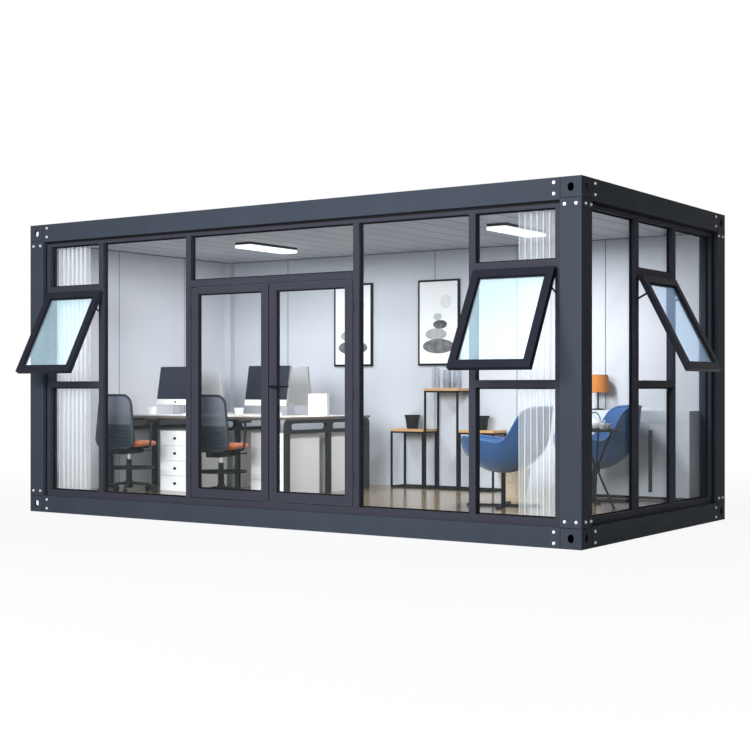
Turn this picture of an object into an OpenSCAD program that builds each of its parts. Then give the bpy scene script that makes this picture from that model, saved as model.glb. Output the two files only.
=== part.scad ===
/* [Cabin] */
// Length between the outer faces of the corner posts
cabin_l = 5950; // [4500:10:7200]
// Width between the outer faces of the corner posts
cabin_w = 3000; // [2900:10:3600]
// Height from the ground to the top of the roof castings
cabin_h = 2800; // [2700:10:3200]
// Height of the base beams and of every corner casting
base_h = 160; // [120:5:220]
// Height of the roof beams
roof_beam_h = 170; // [165:5:240]
// Corner post face along the length
post_l = 180; // [140:5:240]
// Corner post face along the width
post_w = 180; // [120:5:220]
// Sheet thickness of the formed beams and posts
steel_t = 4; // [2:0.5:8]

/* [Corner castings] */
// Wall thickness of a casting
casting_t = 12; // [8:1:20]
// Length of a lashing hole
hole_l = 65; // [50:1:80]
// Width of a lashing hole
hole_w = 50; // [30:1:60]

/* [Floor and roof] */
// Thickness of the floor deck
deck_t = 20; // [12:1:40]
// Spacing of the floor joists
joist_pitch = 600; // [400:10:900]
// Width of a joist or purlin
joist_w = 50; // [30:5:80]
// Height of a floor joist
joist_h = 100; // [60:5:110]
// Thickness of the ceiling
ceiling_t = 20; // [8:1:40]
// Distance of the roof sheet below the top of the roof beams
roof_drop = 60; // [45:5:80]
// Rise of a rib of the roof sheet
rib_h = 24; // [10:1:40]
// Spacing of the ribs
rib_pitch = 230; // [150:10:400]
// Thickness of the roof sheet
roof_sheet_t = 5; // [3:1:10]

/* [Wall panels] */
// Thickness of a sandwich panel
panel_t = 75; // [50:5:110]
// Distance of the panels behind the post faces
panel_recess = 30; // [10:5:50]
// Width of a full panel of the back wall
back_panel_w = 962; // [700:1:1200]
// Distance of the first back joint from the post
back_first_joint = 775; // [400:1:950]
// Width of a full panel of the left wall
side_panel_w = 1010; // [800:1:1200]
// Distance of the first left joint from the front post
side_first_joint = 939; // [400:1:1100]
// Gap between two panels
panel_joint = 2; // [1:0.5:6]
// Thickness of the white angle over the back left post
liner_t = 3; // [1:0.5:6]

/* [Glazing frames] */
// Distance of the frames behind the post faces
frame_recess = 40; // [30:5:70]
// Depth of a frame bar
frame_d = 60; // [45:1:75]
// Face of the outer frame bars and of the window mullions
frame_face = 60; // [40:1:80]
// Height of the sill bar
sill_h = 60; // [50:1:120]
// Height of the head bar
head_h = 50; // [40:1:80]
// Thickness of a glass pane
glass_t = 8; // [4:1:24]
// Distance of the glass behind the frame face
glass_set = 41; // [15:1:50]
// How much further out the near jamb of the left window stands than that of the right one
left_jamb_shift = 42; // [0:1:80]
// Mean width of the two full-height fixed panes at the front
fixed_bay_w = 1024; // [700:1:1200]
// Opening of the doorway between its mullions
door_bay_w = 1790; // [1500:1:1900]
// Face of the door mullions
door_mullion_w = 60; // [50:1:120]
// Place of the doorway's middle along the length
door_x = -28; // [-100:1:100]
// Width of the middle bay of the glazed end
end_bay_w = 720; // [500:1:1000]
// Height above the ground of the underside of the top lights
top_light_z = 2190; // [2100:5:2300]
// Height above the ground of the top of the window opening
window_head_z = 2095; // [2050:5:2180]
// Height above the ground of the bottom of the window opening
window_sill_z = 1273; // [900:1:1500]
// Height above the ground of the underside of the door transom
door_head_z = 2120; // [2050:5:2170]

/* [Top-hung sashes] */
// Width of each of the three equal sashes
sash_w = 712; // [650:1:760]
// Distance of the left sash's middle from the middle of its opening
left_sash_shift = 30; // [-30:1:30]
// Distance of the right sash's middle from the middle of its opening
right_sash_shift = 9; // [-30:1:30]
// Distance of the end sash's middle from the middle of its opening
end_sash_shift = -21; // [-30:1:30]
// Overlap of a sash on its frame at the sides and head
sash_lap = 17; // [10:1:22]
// Overlap of a sash on its frame at the sill
sash_lap_low = 30; // [10:1:40]
// Face of a sash bar
sash_face = 66; // [40:1:80]
// Thickness of a sash
sash_t = 45; // [30:1:60]
// Angle at which the front sashes are fixed open
front_sash_open = 28; // [5:1:60]
// Angle at which the end sash is fixed open
end_sash_open = 28; // [5:1:60]
// Distance of the stay down the sash from its hinge edge
stay_drop = 150; // [120:10:600]
// Width of the stay bar
stay_w = 16; // [8:1:30]
// Thickness of the stay bar
stay_t = 4; // [2:1:6]

/* [Doors] */
// Thickness of a door leaf
leaf_t = 50; // [40:1:55]
// Face of a leaf's stiles and rails
leaf_face = 80; // [60:1:110]
// Height of the top rail of a door leaf
leaf_top_h = 62; // [50:1:110]
// Gap between a leaf and its frame
leaf_gap = 6; // [5:0.5:12]
// Gap between the two leaves
meeting_gap = 10; // [9:0.5:16]
// Distance of the door glass behind the leaf face
leaf_glass_set = 22; // [10:1:35]
// Radius of a hinge knuckle
knuckle_r = 7.5; // [6:0.5:12]
// Radius of a hinge pin
pin_r = 3.5; // [2:0.5:5]
// Radial clearance of a hinge pin
pin_gap = 0.08; // [0.05:0.01:0.1]
// Distance of a knuckle from the frame face
knuckle_set = 0.3; // [0.1:0.1:1]
// Height of one hinge knuckle
knuckle_h = 33; // [20:1:50]
// Gap between two knuckles
knuckle_gap = 0.5; // [0.3:0.1:2]
// Thickness of a hinge wing
wing_t = 2.5; // [1.5:0.5:4]
// Width of a hinge wing
wing_w = 30; // [15:1:50]
// Distance of the end hinges from the leaf's ends
hinge_inset = 230; // [120:5:400]
// Height above the ground of the lever spindle
lever_z = 1222; // [1000:1:1300]
// Length of the lever
lever_l = 92; // [80:1:160]
// Radius of the lever bar and spindle
lever_r = 8; // [6:0.5:10]
// Distance of the lever from the leaf face
lever_reach = 48; // [35:1:70]
// Height of the lever's plate
plate_h = 250; // [120:5:300]
// Width of the lever's plate
plate_w = 34; // [24:1:50]
// Thickness of the lever's plate
plate_t = 4; // [2:0.5:8]

/* [Fittings] */
// Width of a ceiling light
light_w = 190; // [150:5:400]
// Length of a ceiling light
light_l = 750; // [500:10:1300]
// Depth of a ceiling light
light_h = 52; // [20:1:80]
// Distance of the left light from the middle
light_left_x = 1180; // [600:10:2000]
// Distance of the right light from the middle
light_right_x = 1640; // [600:10:2000]
// Distance of both lights from the middle of the depth
light_y = -40; // [-200:5:200]
// Distance of the curtain from the glass frame
curtain_set = 62; // [50:1:120]
// Thickness of a curtain's folds
curtain_t = 56; // [30:1:80]
// Gathered width of a curtain
curtain_w = 410; // [200:5:500]

/* [Bench desk] */
// Height of the desk top above the floor
desk_h = 750; // [650:5:800]
// Width of one desk place
desk_place_w = 1173; // [1000:1:1400]
// Depth of one desk place
desk_place_d = 700; // [600:5:750]
// Thickness of the desk top
desk_top_t = 25; // [18:1:40]
// Front edge of the desk from the middle of the cabin
desk_front_y = -570; // [-650:5:-500]
// Face of a desk leg
leg_face = 45; // [30:1:60]
// Depth of the slot between the two desk bars
slot_h = 62; // [40:1:90]
// Width of a drawer pedestal
pedestal_w = 400; // [300:5:450]
// Height of a drawer pedestal
pedestal_h = 600; // [450:5:640]
// Depth of a drawer pedestal
pedestal_d = 560; // [400:5:600]
// Width of a monitor
monitor_w = 520; // [400:5:620]
// Height of a monitor's panel
monitor_h = 400; // [300:5:450]
// Angle by which a screen leans back
monitor_tilt = 10; // [0:1:20]

/* [Office chairs] */
// Distance of the chair axes in front of the desk
chair_axis_set = 380; // [376:1:400]
// Distance of the left chair axis from the desk's left end
chair_left_x = 690; // [600:5:800]
// Height of the seat above the floor
seat_h = 520; // [500:5:560]
// Width of the seat
seat_w = 460; // [400:5:500]
// Depth of the seat
seat_d = 440; // [380:5:480]
// Height of the chair's top above the floor
chair_h = 975; // [850:5:1050]
// Angle by which the chairs stand turned from the desk
chair_turn = 13; // [-30:1:30]
// Radius of the five-star base
base_r = 300; // [250:5:340]

/* [Console tables] */
// Width of a console table
console_w = 400; // [300:5:500]
// Depth of a console table
console_d = 270; // [200:5:350]
// Tube of the console frames
console_tube = 18; // [12:1:30]
// Height above the floor of the low tables
console_low_h = 605; // [400:5:800]
// Height above the floor of the middle table
console_high_h = 1024; // [850:2:1200]
// Thickness of the console tops
console_top_t = 24; // [12:1:40]

/* [Lounge] */
// Radius of a lounge shell
shell_r = 400; // [330:5:430]
// Thickness of a lounge shell
shell_t = 40; // [25:1:60]
// Height of the shell's back above the floor
shell_back_h = 860; // [700:5:950]
// Height of the shell's arms above the floor
shell_arm_h = 600; // [520:5:650]
// Height of the shell's front edge above the floor
shell_front_h = 430; // [400:5:480]
// Height above the floor of the shell's underside
shell_low_h = 290; // [220:5:340]
// Height above the floor of the side table
table_h = 670; // [450:5:720]
// Radius of the side table
table_r = 200; // [150:5:260]
// Length of the planter cabinet
planter_l = 1040; // [600:5:1200]
// Depth of the planter cabinet
planter_d = 290; // [200:5:400]
// Height of the planter cabinet
planter_h = 820; // [600:5:950]

/* [Hidden] */
$fn = 48;
eps = 1;

half_l = cabin_l / 2;
half_w = cabin_w / 2;
in_x = half_l - post_l;
in_y = half_w - post_w;
roof_low = cabin_h - roof_beam_h;
floor_z = base_h + deck_t;
lip_h = 30;

back_in = half_w - panel_recess - panel_t;
left_in = half_l - panel_recess - panel_t;
front_face = -half_w + frame_recess;
front_in = front_face + frame_d;
end_face = half_l - frame_recess;
end_in = end_face - frame_d;
sill_top = base_h + sill_h;
head_low = roof_low - head_h;

door_half = door_bay_w / 2;
fixed_near = door_half + door_mullion_w;
fixed_far = fixed_near + fixed_bay_w;
window_near = fixed_far + frame_face;
window_far = in_x - frame_face;
end_half = end_bay_w / 2;
low_light_top = window_sill_z - frame_face;

steel_colour = [0.27, 0.31, 0.35];
frame_colour = [0.29, 0.29, 0.32];
sash_colour = [0.16, 0.16, 0.19];
glass_colour = [0.75, 0.86, 0.95, 0.35];
panel_colour = [0.90, 0.92, 0.95];
zinc_colour = [0.72, 0.73, 0.74];
white_colour = [0.94, 0.94, 0.94];
black_colour = [0.10, 0.10, 0.11];
oak_colour = [0.80, 0.66, 0.47];
blue_colour = [0.16, 0.33, 0.58];

// A box from its low corner to its high corner
module span(low, high) {
    translate(low)
        cube([high[0] - low[0], high[1] - low[1], high[2] - low[2]]);
}

// A flat slot with round ends, its length along X
module slot_2d(length, width) {
    square([length - width, width], center = true);
    for (side = [-1, 1])
        translate([side * (length - width) / 2, 0])
            circle(d = width);
}

// A flat rectangle with round corners, its low corner at the origin
module round_rect_2d(width, height, r) {
    translate([r, 0])
        square([width - 2 * r, height]);
    translate([0, r])
        square([width, height - 2 * r]);
    for (x = [r, width - r], y = [r, height - r])
        translate([x, y])
            circle(r = r);
}

// ---- Steel frame -------------------------------------------------------

// Section of a formed channel: its web at x = 0, open towards +X
module channel_2d(depth, height) {
    difference() {
        square([depth, height]);
        translate([steel_t, steel_t])
            square([depth - 2 * steel_t, height - 2 * steel_t]);
        translate([depth - steel_t - eps, lip_h])
            square([steel_t + 2 * eps, height - 2 * lip_h]);
    }
}

// The four channels of one level, webs outwards, between the posts
module beam_ring(z, height) {
    for (turn = [0, 180])
        rotate([0, 0, turn])
            translate([-in_x, -half_w, z])
                rotate([90, 0, 90])
                    linear_extrude(height = 2 * in_x)
                        channel_2d(post_w, height);
    for (turn = [0, 180])
        rotate([0, 0, turn])
            translate([-half_l, in_y, z])
                rotate([90, 0, 0])
                    linear_extrude(height = 2 * in_y)
                        channel_2d(post_l, height);
}

module base_beams() {
    color(steel_colour)
        beam_ring(0, base_h);
}

module roof_beams() {
    color(steel_colour)
        beam_ring(roof_low, roof_beam_h);
}

module corner_posts() {
    color(steel_colour)
        for (sx = [-1, 1], sy = [-1, 1])
            translate([sx * (half_l - post_l / 2), sy * (half_w - post_w / 2), base_h])
                linear_extrude(height = cabin_h - 2 * base_h)
                    difference() {
                        square([post_l, post_w], center = true);
                        square([post_l - 2 * steel_t, post_w - 2 * steel_t], center = true);
                    }
}

// A hollow casting centred on its corner, with holes in its two outer sides
// and in the face that up points to
module casting(sx, sy, up) {
    difference() {
        cube([post_l, post_w, base_h], center = true);
        cube([post_l - 2 * casting_t, post_w - 2 * casting_t, base_h - 2 * casting_t],
            center = true);
        translate([0, sy * post_w / 2, 0])
            rotate([90, 90, 0])
                linear_extrude(height = 3 * casting_t, center = true)
                    slot_2d(hole_l, hole_w);
        translate([sx * post_l / 2, 0, 0])
            rotate([0, 90, 0])
                linear_extrude(height = 3 * casting_t, center = true)
                    slot_2d(hole_l, hole_w);
        translate([0, 0, up * base_h / 2])
            linear_extrude(height = 3 * casting_t, center = true)
                slot_2d(hole_l, hole_w);
    }
}

module castings(z, up) {
    for (sx = [-1, 1], sy = [-1, 1])
        translate([sx * (half_l - post_l / 2), sy * (half_w - post_w / 2), z])
            casting(sx, sy, up);
}

module base_castings() {
    color(steel_colour)
        castings(base_h / 2, -1);
}

module roof_castings() {
    color(steel_colour)
        castings(cabin_h - base_h / 2, 1);
}

// ---- Floor, ceiling and roof -------------------------------------------

joist_count = floor(2 * in_x / joist_pitch);

module floor_joists() {
    color(zinc_colour)
        for (i = [0 : joist_count - 1])
            translate([(i - (joist_count - 1) / 2) * joist_pitch, 0, base_h - joist_h / 2])
                cube([joist_w, 2 * in_y, joist_h], center = true);
}

module floor_deck() {
    color([0.78, 0.73, 0.66])
        difference() {
            span([-left_in, front_in, base_h], [end_in, back_in, floor_z]);
            for (sx = [-1, 1], sy = [-1, 1])
                translate([sx * (half_l - post_l / 2), sy * (half_w - post_w / 2), floor_z])
                    cube([post_l, post_w, 4 * deck_t], center = true);
        }
}

ceiling_top = roof_low + ceiling_t;
roof_sheet_z = cabin_h - roof_drop - rib_h - roof_sheet_t;

module ceiling() {
    color([0.80, 0.81, 0.83])
        span([-in_x, -in_y, roof_low], [in_x, in_y, ceiling_top]);
}

module roof_purlins() {
    color(zinc_colour)
        for (i = [0 : joist_count - 1])
            translate([(i - (joist_count - 1) / 2) * joist_pitch - joist_w / 2, -in_y, ceiling_top])
                cube([joist_w, 2 * in_y, roof_sheet_z - ceiling_top]);
}

rib_count = floor(2 * in_x / rib_pitch);
rib_step = 2 * in_x / rib_count;
rib_foot = rib_pitch / 3;
rib_crown = rib_pitch / 5;

// Heights of the ribbed line over one rib, as points from its left foot
function rib_points(x) = [
    [x + (rib_step - rib_foot) / 2, 0],
    [x + (rib_step - rib_crown) / 2, rib_h],
    [x + (rib_step + rib_crown) / 2, rib_h],
    [x + (rib_step + rib_foot) / 2, 0]
];

module roof_deck() {
    ribs = [for (i = [0 : rib_count - 1]) each rib_points(-in_x + i * rib_step)];
    line = concat([[-in_x, 0]], ribs, [[in_x, 0]]);
    upper = [for (p = line) [p[0], p[1] + roof_sheet_t]];
    lower = [for (i = [len(line) - 1 : -1 : 0]) line[i]];
    color(zinc_colour)
        translate([0, in_y, roof_sheet_z])
            rotate([90, 0, 0])
                linear_extrude(height = 2 * in_y)
                    polygon(concat(upper, lower));
}

// ---- Sandwich panel walls ----------------------------------------------

// Panels along +X from start to end, with joints at first + k * width
module panel_row(start, end, first, width) {
    full = floor((end - first) / width);
    joints = [for (k = [0 : full]) if (first + k * width < end - width / 10) first + k * width];
    edges = concat([start], joints, [end]);
    for (i = [0 : len(edges) - 2])
        translate([edges[i], 0, base_h])
            cube([
                edges[i + 1] - edges[i] - (i < len(edges) - 2 ? panel_joint : 0),
                panel_t,
                roof_low - base_h
            ]);
}

module back_wall_panels() {
    color(panel_colour)
        translate([0, back_in, 0])
            panel_row(-in_x, in_x, -in_x + back_first_joint, back_panel_w);
}

module left_wall_panels() {
    color(panel_colour)
        translate([-left_in, 0, 0])
            rotate([0, 0, 90])
                panel_row(-in_y, in_y, -in_y + side_first_joint, side_panel_w);
}

// White angle over the back left post, between the two rows of panels
module corner_liner() {
    color(panel_colour) {
        span([-left_in, in_y - liner_t, floor_z], [-in_x + liner_t, in_y, roof_low]);
        span([-in_x, in_y - liner_t, floor_z], [-in_x + liner_t, back_in, roof_low]);
    }
}

// ---- Fixed glazing -----------------------------------------------------

// A bar of the front frame
module front_bar(x0, x1, z0, z1) {
    span([x0, front_face, z0], [x1, front_in, z1]);
}

// A pane of the front frame
module front_glass(x0, x1, z0, z1) {
    span([x0, front_face + glass_set, z0], [x1, front_face + glass_set + glass_t, z1]);
}

// Places a child drawn about the middle of the doorway
module at_door() {
    translate([door_x, 0, 0])
        children();
}

module front_rails() {
    color(frame_colour) {
        front_bar(-in_x, in_x, head_low, roof_low);
        front_bar(-in_x, in_x, base_h, sill_top);
        front_bar(door_x - door_half, door_x + door_half, door_head_z, door_head_z + frame_face);
        for (side = [0, 1])
            mirror([side, 0, 0]) {
                front_bar(window_near + side * left_jamb_shift, window_far, window_head_z, top_light_z);
                front_bar(window_near + side * left_jamb_shift, window_far, low_light_top, window_sill_z);
            }
    }
}

module front_mullions() {
    color(frame_colour)
        for (side = [0, 1]) {
            at_door()
                mirror([side, 0, 0])
                    front_bar(door_half, fixed_near, sill_top, head_low);
            mirror([side, 0, 0]) {
                translate([side * left_jamb_shift, 0, 0])
                    front_bar(fixed_far, window_near, sill_top, head_low);
                front_bar(window_far, in_x, sill_top, head_low);
            }
        }
}

module front_panes() {
    color(glass_colour) {
        at_door()
            front_glass(-door_half, door_half, door_head_z + frame_face, head_low);
        for (side = [0, 1])
            mirror([side, 0, 0]) {
                front_glass(fixed_near + (1 - 2 * side) * door_x, fixed_far + side * left_jamb_shift,
                    sill_top, head_low);
                front_glass(window_near + side * left_jamb_shift, window_far, top_light_z, head_low);
                front_glass(window_near + side * left_jamb_shift, window_far, sill_top, low_light_top);
            }
    }
}

// A bar of the end frame
module end_bar(y0, y1, z0, z1) {
    span([end_in, y0, z0], [end_face, y1, z1]);
}

// A pane of the end frame
module end_glass(y0, y1, z0, z1) {
    span([end_face - glass_set - glass_t, y0, z0], [end_face - glass_set, y1, z1]);
}

module end_rails() {
    color(frame_colour) {
        end_bar(-in_y, in_y, head_low, roof_low);
        end_bar(-in_y, in_y, base_h, sill_top);
        end_bar(-end_half, end_half, window_head_z, top_light_z);
        end_bar(-end_half, end_half, low_light_top, window_sill_z);
    }
}

module end_mullions() {
    color(frame_colour)
        for (side = [0, 1])
            mirror([0, side, 0]) {
                end_bar(end_half, end_half + frame_face, sill_top, head_low);
                end_bar(in_y - frame_face, in_y, sill_top, head_low);
            }
}

module end_panes() {
    color(glass_colour) {
        end_glass(-end_half, end_half, top_light_z, head_low);
        end_glass(-end_half, end_half, sill_top, low_light_top);
        for (side = [0, 1])
            mirror([0, side, 0])
                end_glass(end_half + frame_face, in_y - frame_face, sill_top, head_low);
    }
}

// ---- Top-hung sashes, fixed open ---------------------------------------

sash_l = window_head_z - window_sill_z + sash_lap + sash_lap_low;
front_sashes = [[-1, left_jamb_shift, left_sash_shift], [1, 0, right_sash_shift]];

// Places a child drawn for a closed sash, its hinge edge on the X axis
// and its back on the plane y = 0, at one of the three window openings
module at_front_opening(side, jamb_shift) {
    translate([side * (window_near + window_far + jamb_shift) / 2, front_face, window_head_z + sash_lap])
        rotate([-front_sash_open, 0, 0])
            children();
}

module at_end_opening() {
    translate([end_face, 0, window_head_z + sash_lap])
        rotate([0, 0, 90])
            rotate([-end_sash_open, 0, 0])
                children();
}

module sash_frame(shift) {
    difference() {
        span([shift - sash_w / 2, -sash_t, -sash_l], [shift + sash_w / 2, 0, 0]);
        span([shift - sash_w / 2 + sash_face, -sash_t - eps, -sash_l + sash_face],
            [shift + sash_w / 2 - sash_face, eps, -sash_face]);
    }
}

module sash_pane(shift) {
    middle = -sash_t / 2;
    span([shift - sash_w / 2 + sash_face, middle - glass_t / 2, -sash_l + sash_face],
        [shift + sash_w / 2 - sash_face, middle + glass_t / 2, -sash_face]);
}

// Two bars from the back of the sash to the sides of the opening
module stay_pair(opening, angle) {
    reach = stay_drop * tan(angle) + frame_d / 2;
    for (side = [0, 1])
        mirror([side, 0, 0])
            span([opening / 2 - stay_t, 0, -stay_drop - stay_w / 2],
                [opening / 2, reach, -stay_drop + stay_w / 2]);
}

module sash_frames() {
    color(sash_colour) {
        for (sash = front_sashes)
            at_front_opening(sash[0], sash[1])
                sash_frame(sash[2]);
        at_end_opening()
            sash_frame(end_sash_shift);
    }
}

module sash_panes() {
    color(glass_colour) {
        for (sash = front_sashes)
            at_front_opening(sash[0], sash[1])
                sash_pane(sash[2]);
        at_end_opening()
            sash_pane(end_sash_shift);
    }
}

module sash_stays() {
    color(zinc_colour) {
        for (sash = front_sashes)
            at_front_opening(sash[0], sash[1])
                stay_pair(window_far - window_near - sash[1], front_sash_open);
        at_end_opening()
            stay_pair(end_bay_w, end_sash_open);
    }
}

// ---- Double door -------------------------------------------------------

leaf_near = meeting_gap / 2;
leaf_far = door_half - leaf_gap;
leaf_low = sill_top + leaf_gap;
leaf_high = door_head_z - leaf_gap;
hinge_y = front_face - knuckle_r - knuckle_set;
hinge_h = 3 * knuckle_h + 2 * knuckle_gap;
hinge_mid_z = (leaf_low + leaf_high) / 2;
hinge_far_z = (leaf_high - leaf_low) / 2 - hinge_inset;
hinge_heights = [hinge_mid_z - hinge_far_z, hinge_mid_z, hinge_mid_z + hinge_far_z];
lever_x = leaf_near + leaf_face / 2;

// Bore of the lever spindle through the leaf
module spindle_bore() {
    translate([lever_x, front_face - eps, lever_z])
        rotate([-90, 0, 0])
            cylinder(r = lever_r + pin_gap, h = leaf_t + 2 * eps);
}

// The frame of the right leaf
module leaf_frame() {
    difference() {
        span([leaf_near, front_face, leaf_low], [leaf_far, front_face + leaf_t, leaf_high]);
        span([leaf_near + leaf_face, front_face - eps, leaf_low + leaf_face],
            [leaf_far - leaf_face, front_face + leaf_t + eps, leaf_high - leaf_top_h]);
    }
}

module leaf_pane() {
    span([leaf_near + leaf_face, front_face + leaf_glass_set, leaf_low + leaf_face],
        [leaf_far - leaf_face, front_face + leaf_glass_set + glass_t, leaf_high - leaf_top_h]);
}

// Knuckle and wing of the right leaf, one at each hinge height
module leaf_hinges() {
    for (z = hinge_heights)
        translate([door_half, hinge_y, z])
            difference() {
                union() {
                    cylinder(r = knuckle_r, h = knuckle_h, center = true);
                    translate([-wing_w, front_face - hinge_y - wing_t, -knuckle_h / 2])
                        cube([wing_w, wing_t, knuckle_h]);
                }
                cylinder(r = pin_r + pin_gap, h = knuckle_h + 2 * eps, center = true);
            }
}

// Knuckles, wings and pin that stand on the right door mullion
module frame_hinges() {
    for (z = hinge_heights)
        translate([door_half, hinge_y, z]) {
            cylinder(r = pin_r, h = hinge_h, center = true);
            for (end = [-1, 1])
                translate([0, 0, end * (knuckle_h + knuckle_gap) - knuckle_h / 2]) {
                    cylinder(r = knuckle_r, h = knuckle_h);
                    translate([0, front_face - hinge_y - wing_t, 0])
                        cube([wing_w, wing_t, knuckle_h]);
                }
        }
}

// A plate on each face of the right leaf, bored for the spindle
module lever_plates() {
    difference() {
        for (y = [front_face - plate_t, front_face + leaf_t])
            span([lever_x - plate_w / 2, y, lever_z - plate_h * 2 / 3],
                [lever_x + plate_w / 2, y + plate_t, lever_z + plate_h / 3]);
        translate([lever_x, front_face - 2 * plate_t, lever_z])
            rotate([-90, 0, 0])
                cylinder(r = lever_r + pin_gap, h = leaf_t + 4 * plate_t);
    }
}

module door_frame_hinges() {
    color(frame_colour)
        at_door()
            for (side = [0, 1])
                mirror([side, 0, 0])
                    frame_hinges();
}

module door_leaf_left() {
    color(frame_colour)
        at_door()
            mirror([1, 0, 0])
                leaf_frame();
}

module door_pane_left() {
    color(glass_colour)
        at_door()
            mirror([1, 0, 0])
                leaf_pane();
}

module door_hinges_left() {
    color(frame_colour)
        at_door()
            mirror([1, 0, 0])
                leaf_hinges();
}

module door_leaf_right() {
    color(frame_colour)
        at_door()
            difference() {
                leaf_frame();
                spindle_bore();
            }
}

module door_pane_right() {
    color(glass_colour)
        at_door()
            leaf_pane();
}

module door_hinges_right() {
    color(frame_colour)
        at_door() {
            leaf_hinges();
            lever_plates();
        }
}

module door_lever() {
    color(black_colour)
        translate([door_x + lever_x, front_face - lever_reach, lever_z]) {
            rotate([-90, 0, 0])
                cylinder(r = lever_r, h = leaf_t + 2 * lever_reach);
            for (y = [0, leaf_t + 2 * lever_reach])
                translate([0, y, 0]) {
                    sphere(r = lever_r);
                    rotate([0, 90, 0])
                        cylinder(r = lever_r, h = lever_l);
                    translate([lever_l, 0, 0])
                        sphere(r = lever_r);
                }
        }
}

// ---- Lights and curtains -----------------------------------------------

module ceiling_lights() {
    color([0.25, 0.26, 0.28])
        for (x = [-light_left_x, light_right_x])
            span([x - light_w / 2, light_y - light_l / 2, roof_low - light_h],
                [x + light_w / 2, light_y + light_l / 2, roof_low]);
}

rail_h = 22;
rail_w = 30;
curtain_y = front_in + curtain_set;
curtain_clear = 0.3;
curtain_hem = 20;

module curtain_rails() {
    color(white_colour)
        for (side = [0, 1])
            mirror([side, 0, 0])
                span([window_near, curtain_y - rail_w / 2, roof_low - rail_h],
                    [window_far, curtain_y + rail_w / 2, roof_low]);
}

module curtain() {
    color(white_colour)
        span([window_far - curtain_w, curtain_y - curtain_t / 2, floor_z + curtain_hem],
            [window_far, curtain_y + curtain_t / 2, roof_low - rail_h - curtain_clear]);
}

module curtain_left() {
    mirror([1, 0, 0])
        curtain();
}

module curtain_right() {
    curtain();
}

// ---- Bench desk --------------------------------------------------------

desk_x0 = -left_in;
desk_l = 2 * desk_place_w;
desk_d = 2 * desk_place_d;
desk_top_z = floor_z + desk_h;
desk_under_z = desk_top_z - desk_top_t;
desk_split = 4;
bar_h = 35;
desk_r = 55;

module desk_tops() {
    color(oak_colour)
        for (i = [0, 1], j = [0, 1])
            translate([desk_x0 + i * desk_place_w, desk_front_y + j * desk_place_d, desk_under_z])
                cube([desk_place_w - desk_split, desk_place_d - desk_split, desk_top_t]);
}

// One portal of the desk: three legs under a round-cornered double bar
module desk_portal() {
    inset = 15;
    length = desk_d - 2 * inset;
    head = slot_h + 2 * bar_h;
    height = desk_h - desk_top_t;
    leg_step = (length - leg_face) / 2;
    translate([0, desk_front_y + inset, floor_z])
        rotate([90, 0, 90])
            linear_extrude(height = leg_face)
                difference() {
                    union() {
                        for (i = [0 : 2])
                            translate([i * leg_step, 0])
                                square([leg_face, height - head]);
                        translate([0, height - head])
                            square([length, desk_r]);
                        translate([0, height - head])
                            round_rect_2d(length, head, desk_r);
                    }
                    for (i = [0, 1])
                        translate([leg_face + leg_step / 2 + i * leg_step - leg_face / 2,
                            height - bar_h - slot_h / 2])
                            slot_2d(leg_step - 2 * leg_face, slot_h);
                }
}

module desk_frames() {
    color([0.20, 0.23, 0.23])
        for (x = [desk_x0, desk_x0 + desk_place_w - leg_face / 2, desk_x0 + desk_l - leg_face])
            translate([x, 0, 0])
                desk_portal();
}

drawer_count = 4;
groove = 3;

// A drawer pedestal with its front on the plane y = 0
module pedestal() {
    difference() {
        cube([pedestal_w, pedestal_d, pedestal_h]);
        for (i = [1 : drawer_count - 1])
            translate([-eps, -eps, i * pedestal_h / drawer_count])
                cube([pedestal_w + 2 * eps, 18 + eps, groove]);
    }
}

pedestal_end = leg_face + 12;
pedestal_front = 40;

module pedestals() {
    color(white_colour)
        for (i = [1, 2]) {
            x = desk_x0 + i * desk_place_w - pedestal_end - pedestal_w;
            translate([x, desk_front_y + pedestal_front, floor_z])
                pedestal();
            translate([x + pedestal_w, desk_front_y + desk_d - pedestal_front, floor_z])
                rotate([0, 0, 180])
                    pedestal();
        }
}

monitor_t = 24;
monitor_lift = 100;
monitor_foot_w = 200;
monitor_foot_d = 180;
monitor_neck_w = 90;
monitor_foot_t = 8;

// A monitor on its foot, its screen towards -Y
module monitor() {
    translate([0, 0, monitor_lift])
        rotate([-monitor_tilt, 0, 0])
            translate([-monitor_w / 2, -monitor_t, 0])
                cube([monitor_w, monitor_t, monitor_h]);
    translate([-monitor_neck_w / 2, -monitor_foot_t / 2, 0])
        cube([monitor_neck_w, monitor_foot_t, monitor_lift + monitor_t]);
    translate([-monitor_foot_w / 2, monitor_foot_t - monitor_foot_d / 2, 0])
        cube([monitor_foot_w, monitor_foot_d, monitor_foot_t]);
}

monitor_set = 370;
monitor_first = 635;
monitor_spread = 7;
back_monitor_shift = -205;

module monitors() {
    color([0.75, 0.76, 0.78])
        for (i = [0, 1]) {
            x = desk_x0 + monitor_first + i * (desk_place_w + monitor_spread);
            translate([x, desk_front_y + monitor_set, desk_top_z])
                monitor();
            translate([x + back_monitor_shift, desk_front_y + desk_d - monitor_set, desk_top_z])
                rotate([0, 0, 180])
                    monitor();
        }
}

cube_planter_w = 190;
cube_planter_d = 170;
cube_planter_h = 222;
cube_planter_turn = 28;
cube_planter_set = 926;
cube_planter_y = desk_place_d + 150;
planter_wall = 12;
planter_recess = 10;
small_pot_h = 85;
small_pot_low_r = 36;
small_pot_high_r = 50;
small_pot_first = 460;
small_pot_x = [small_pot_first, small_pot_first + desk_place_w - 28];
small_pot_y = 200;

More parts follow.
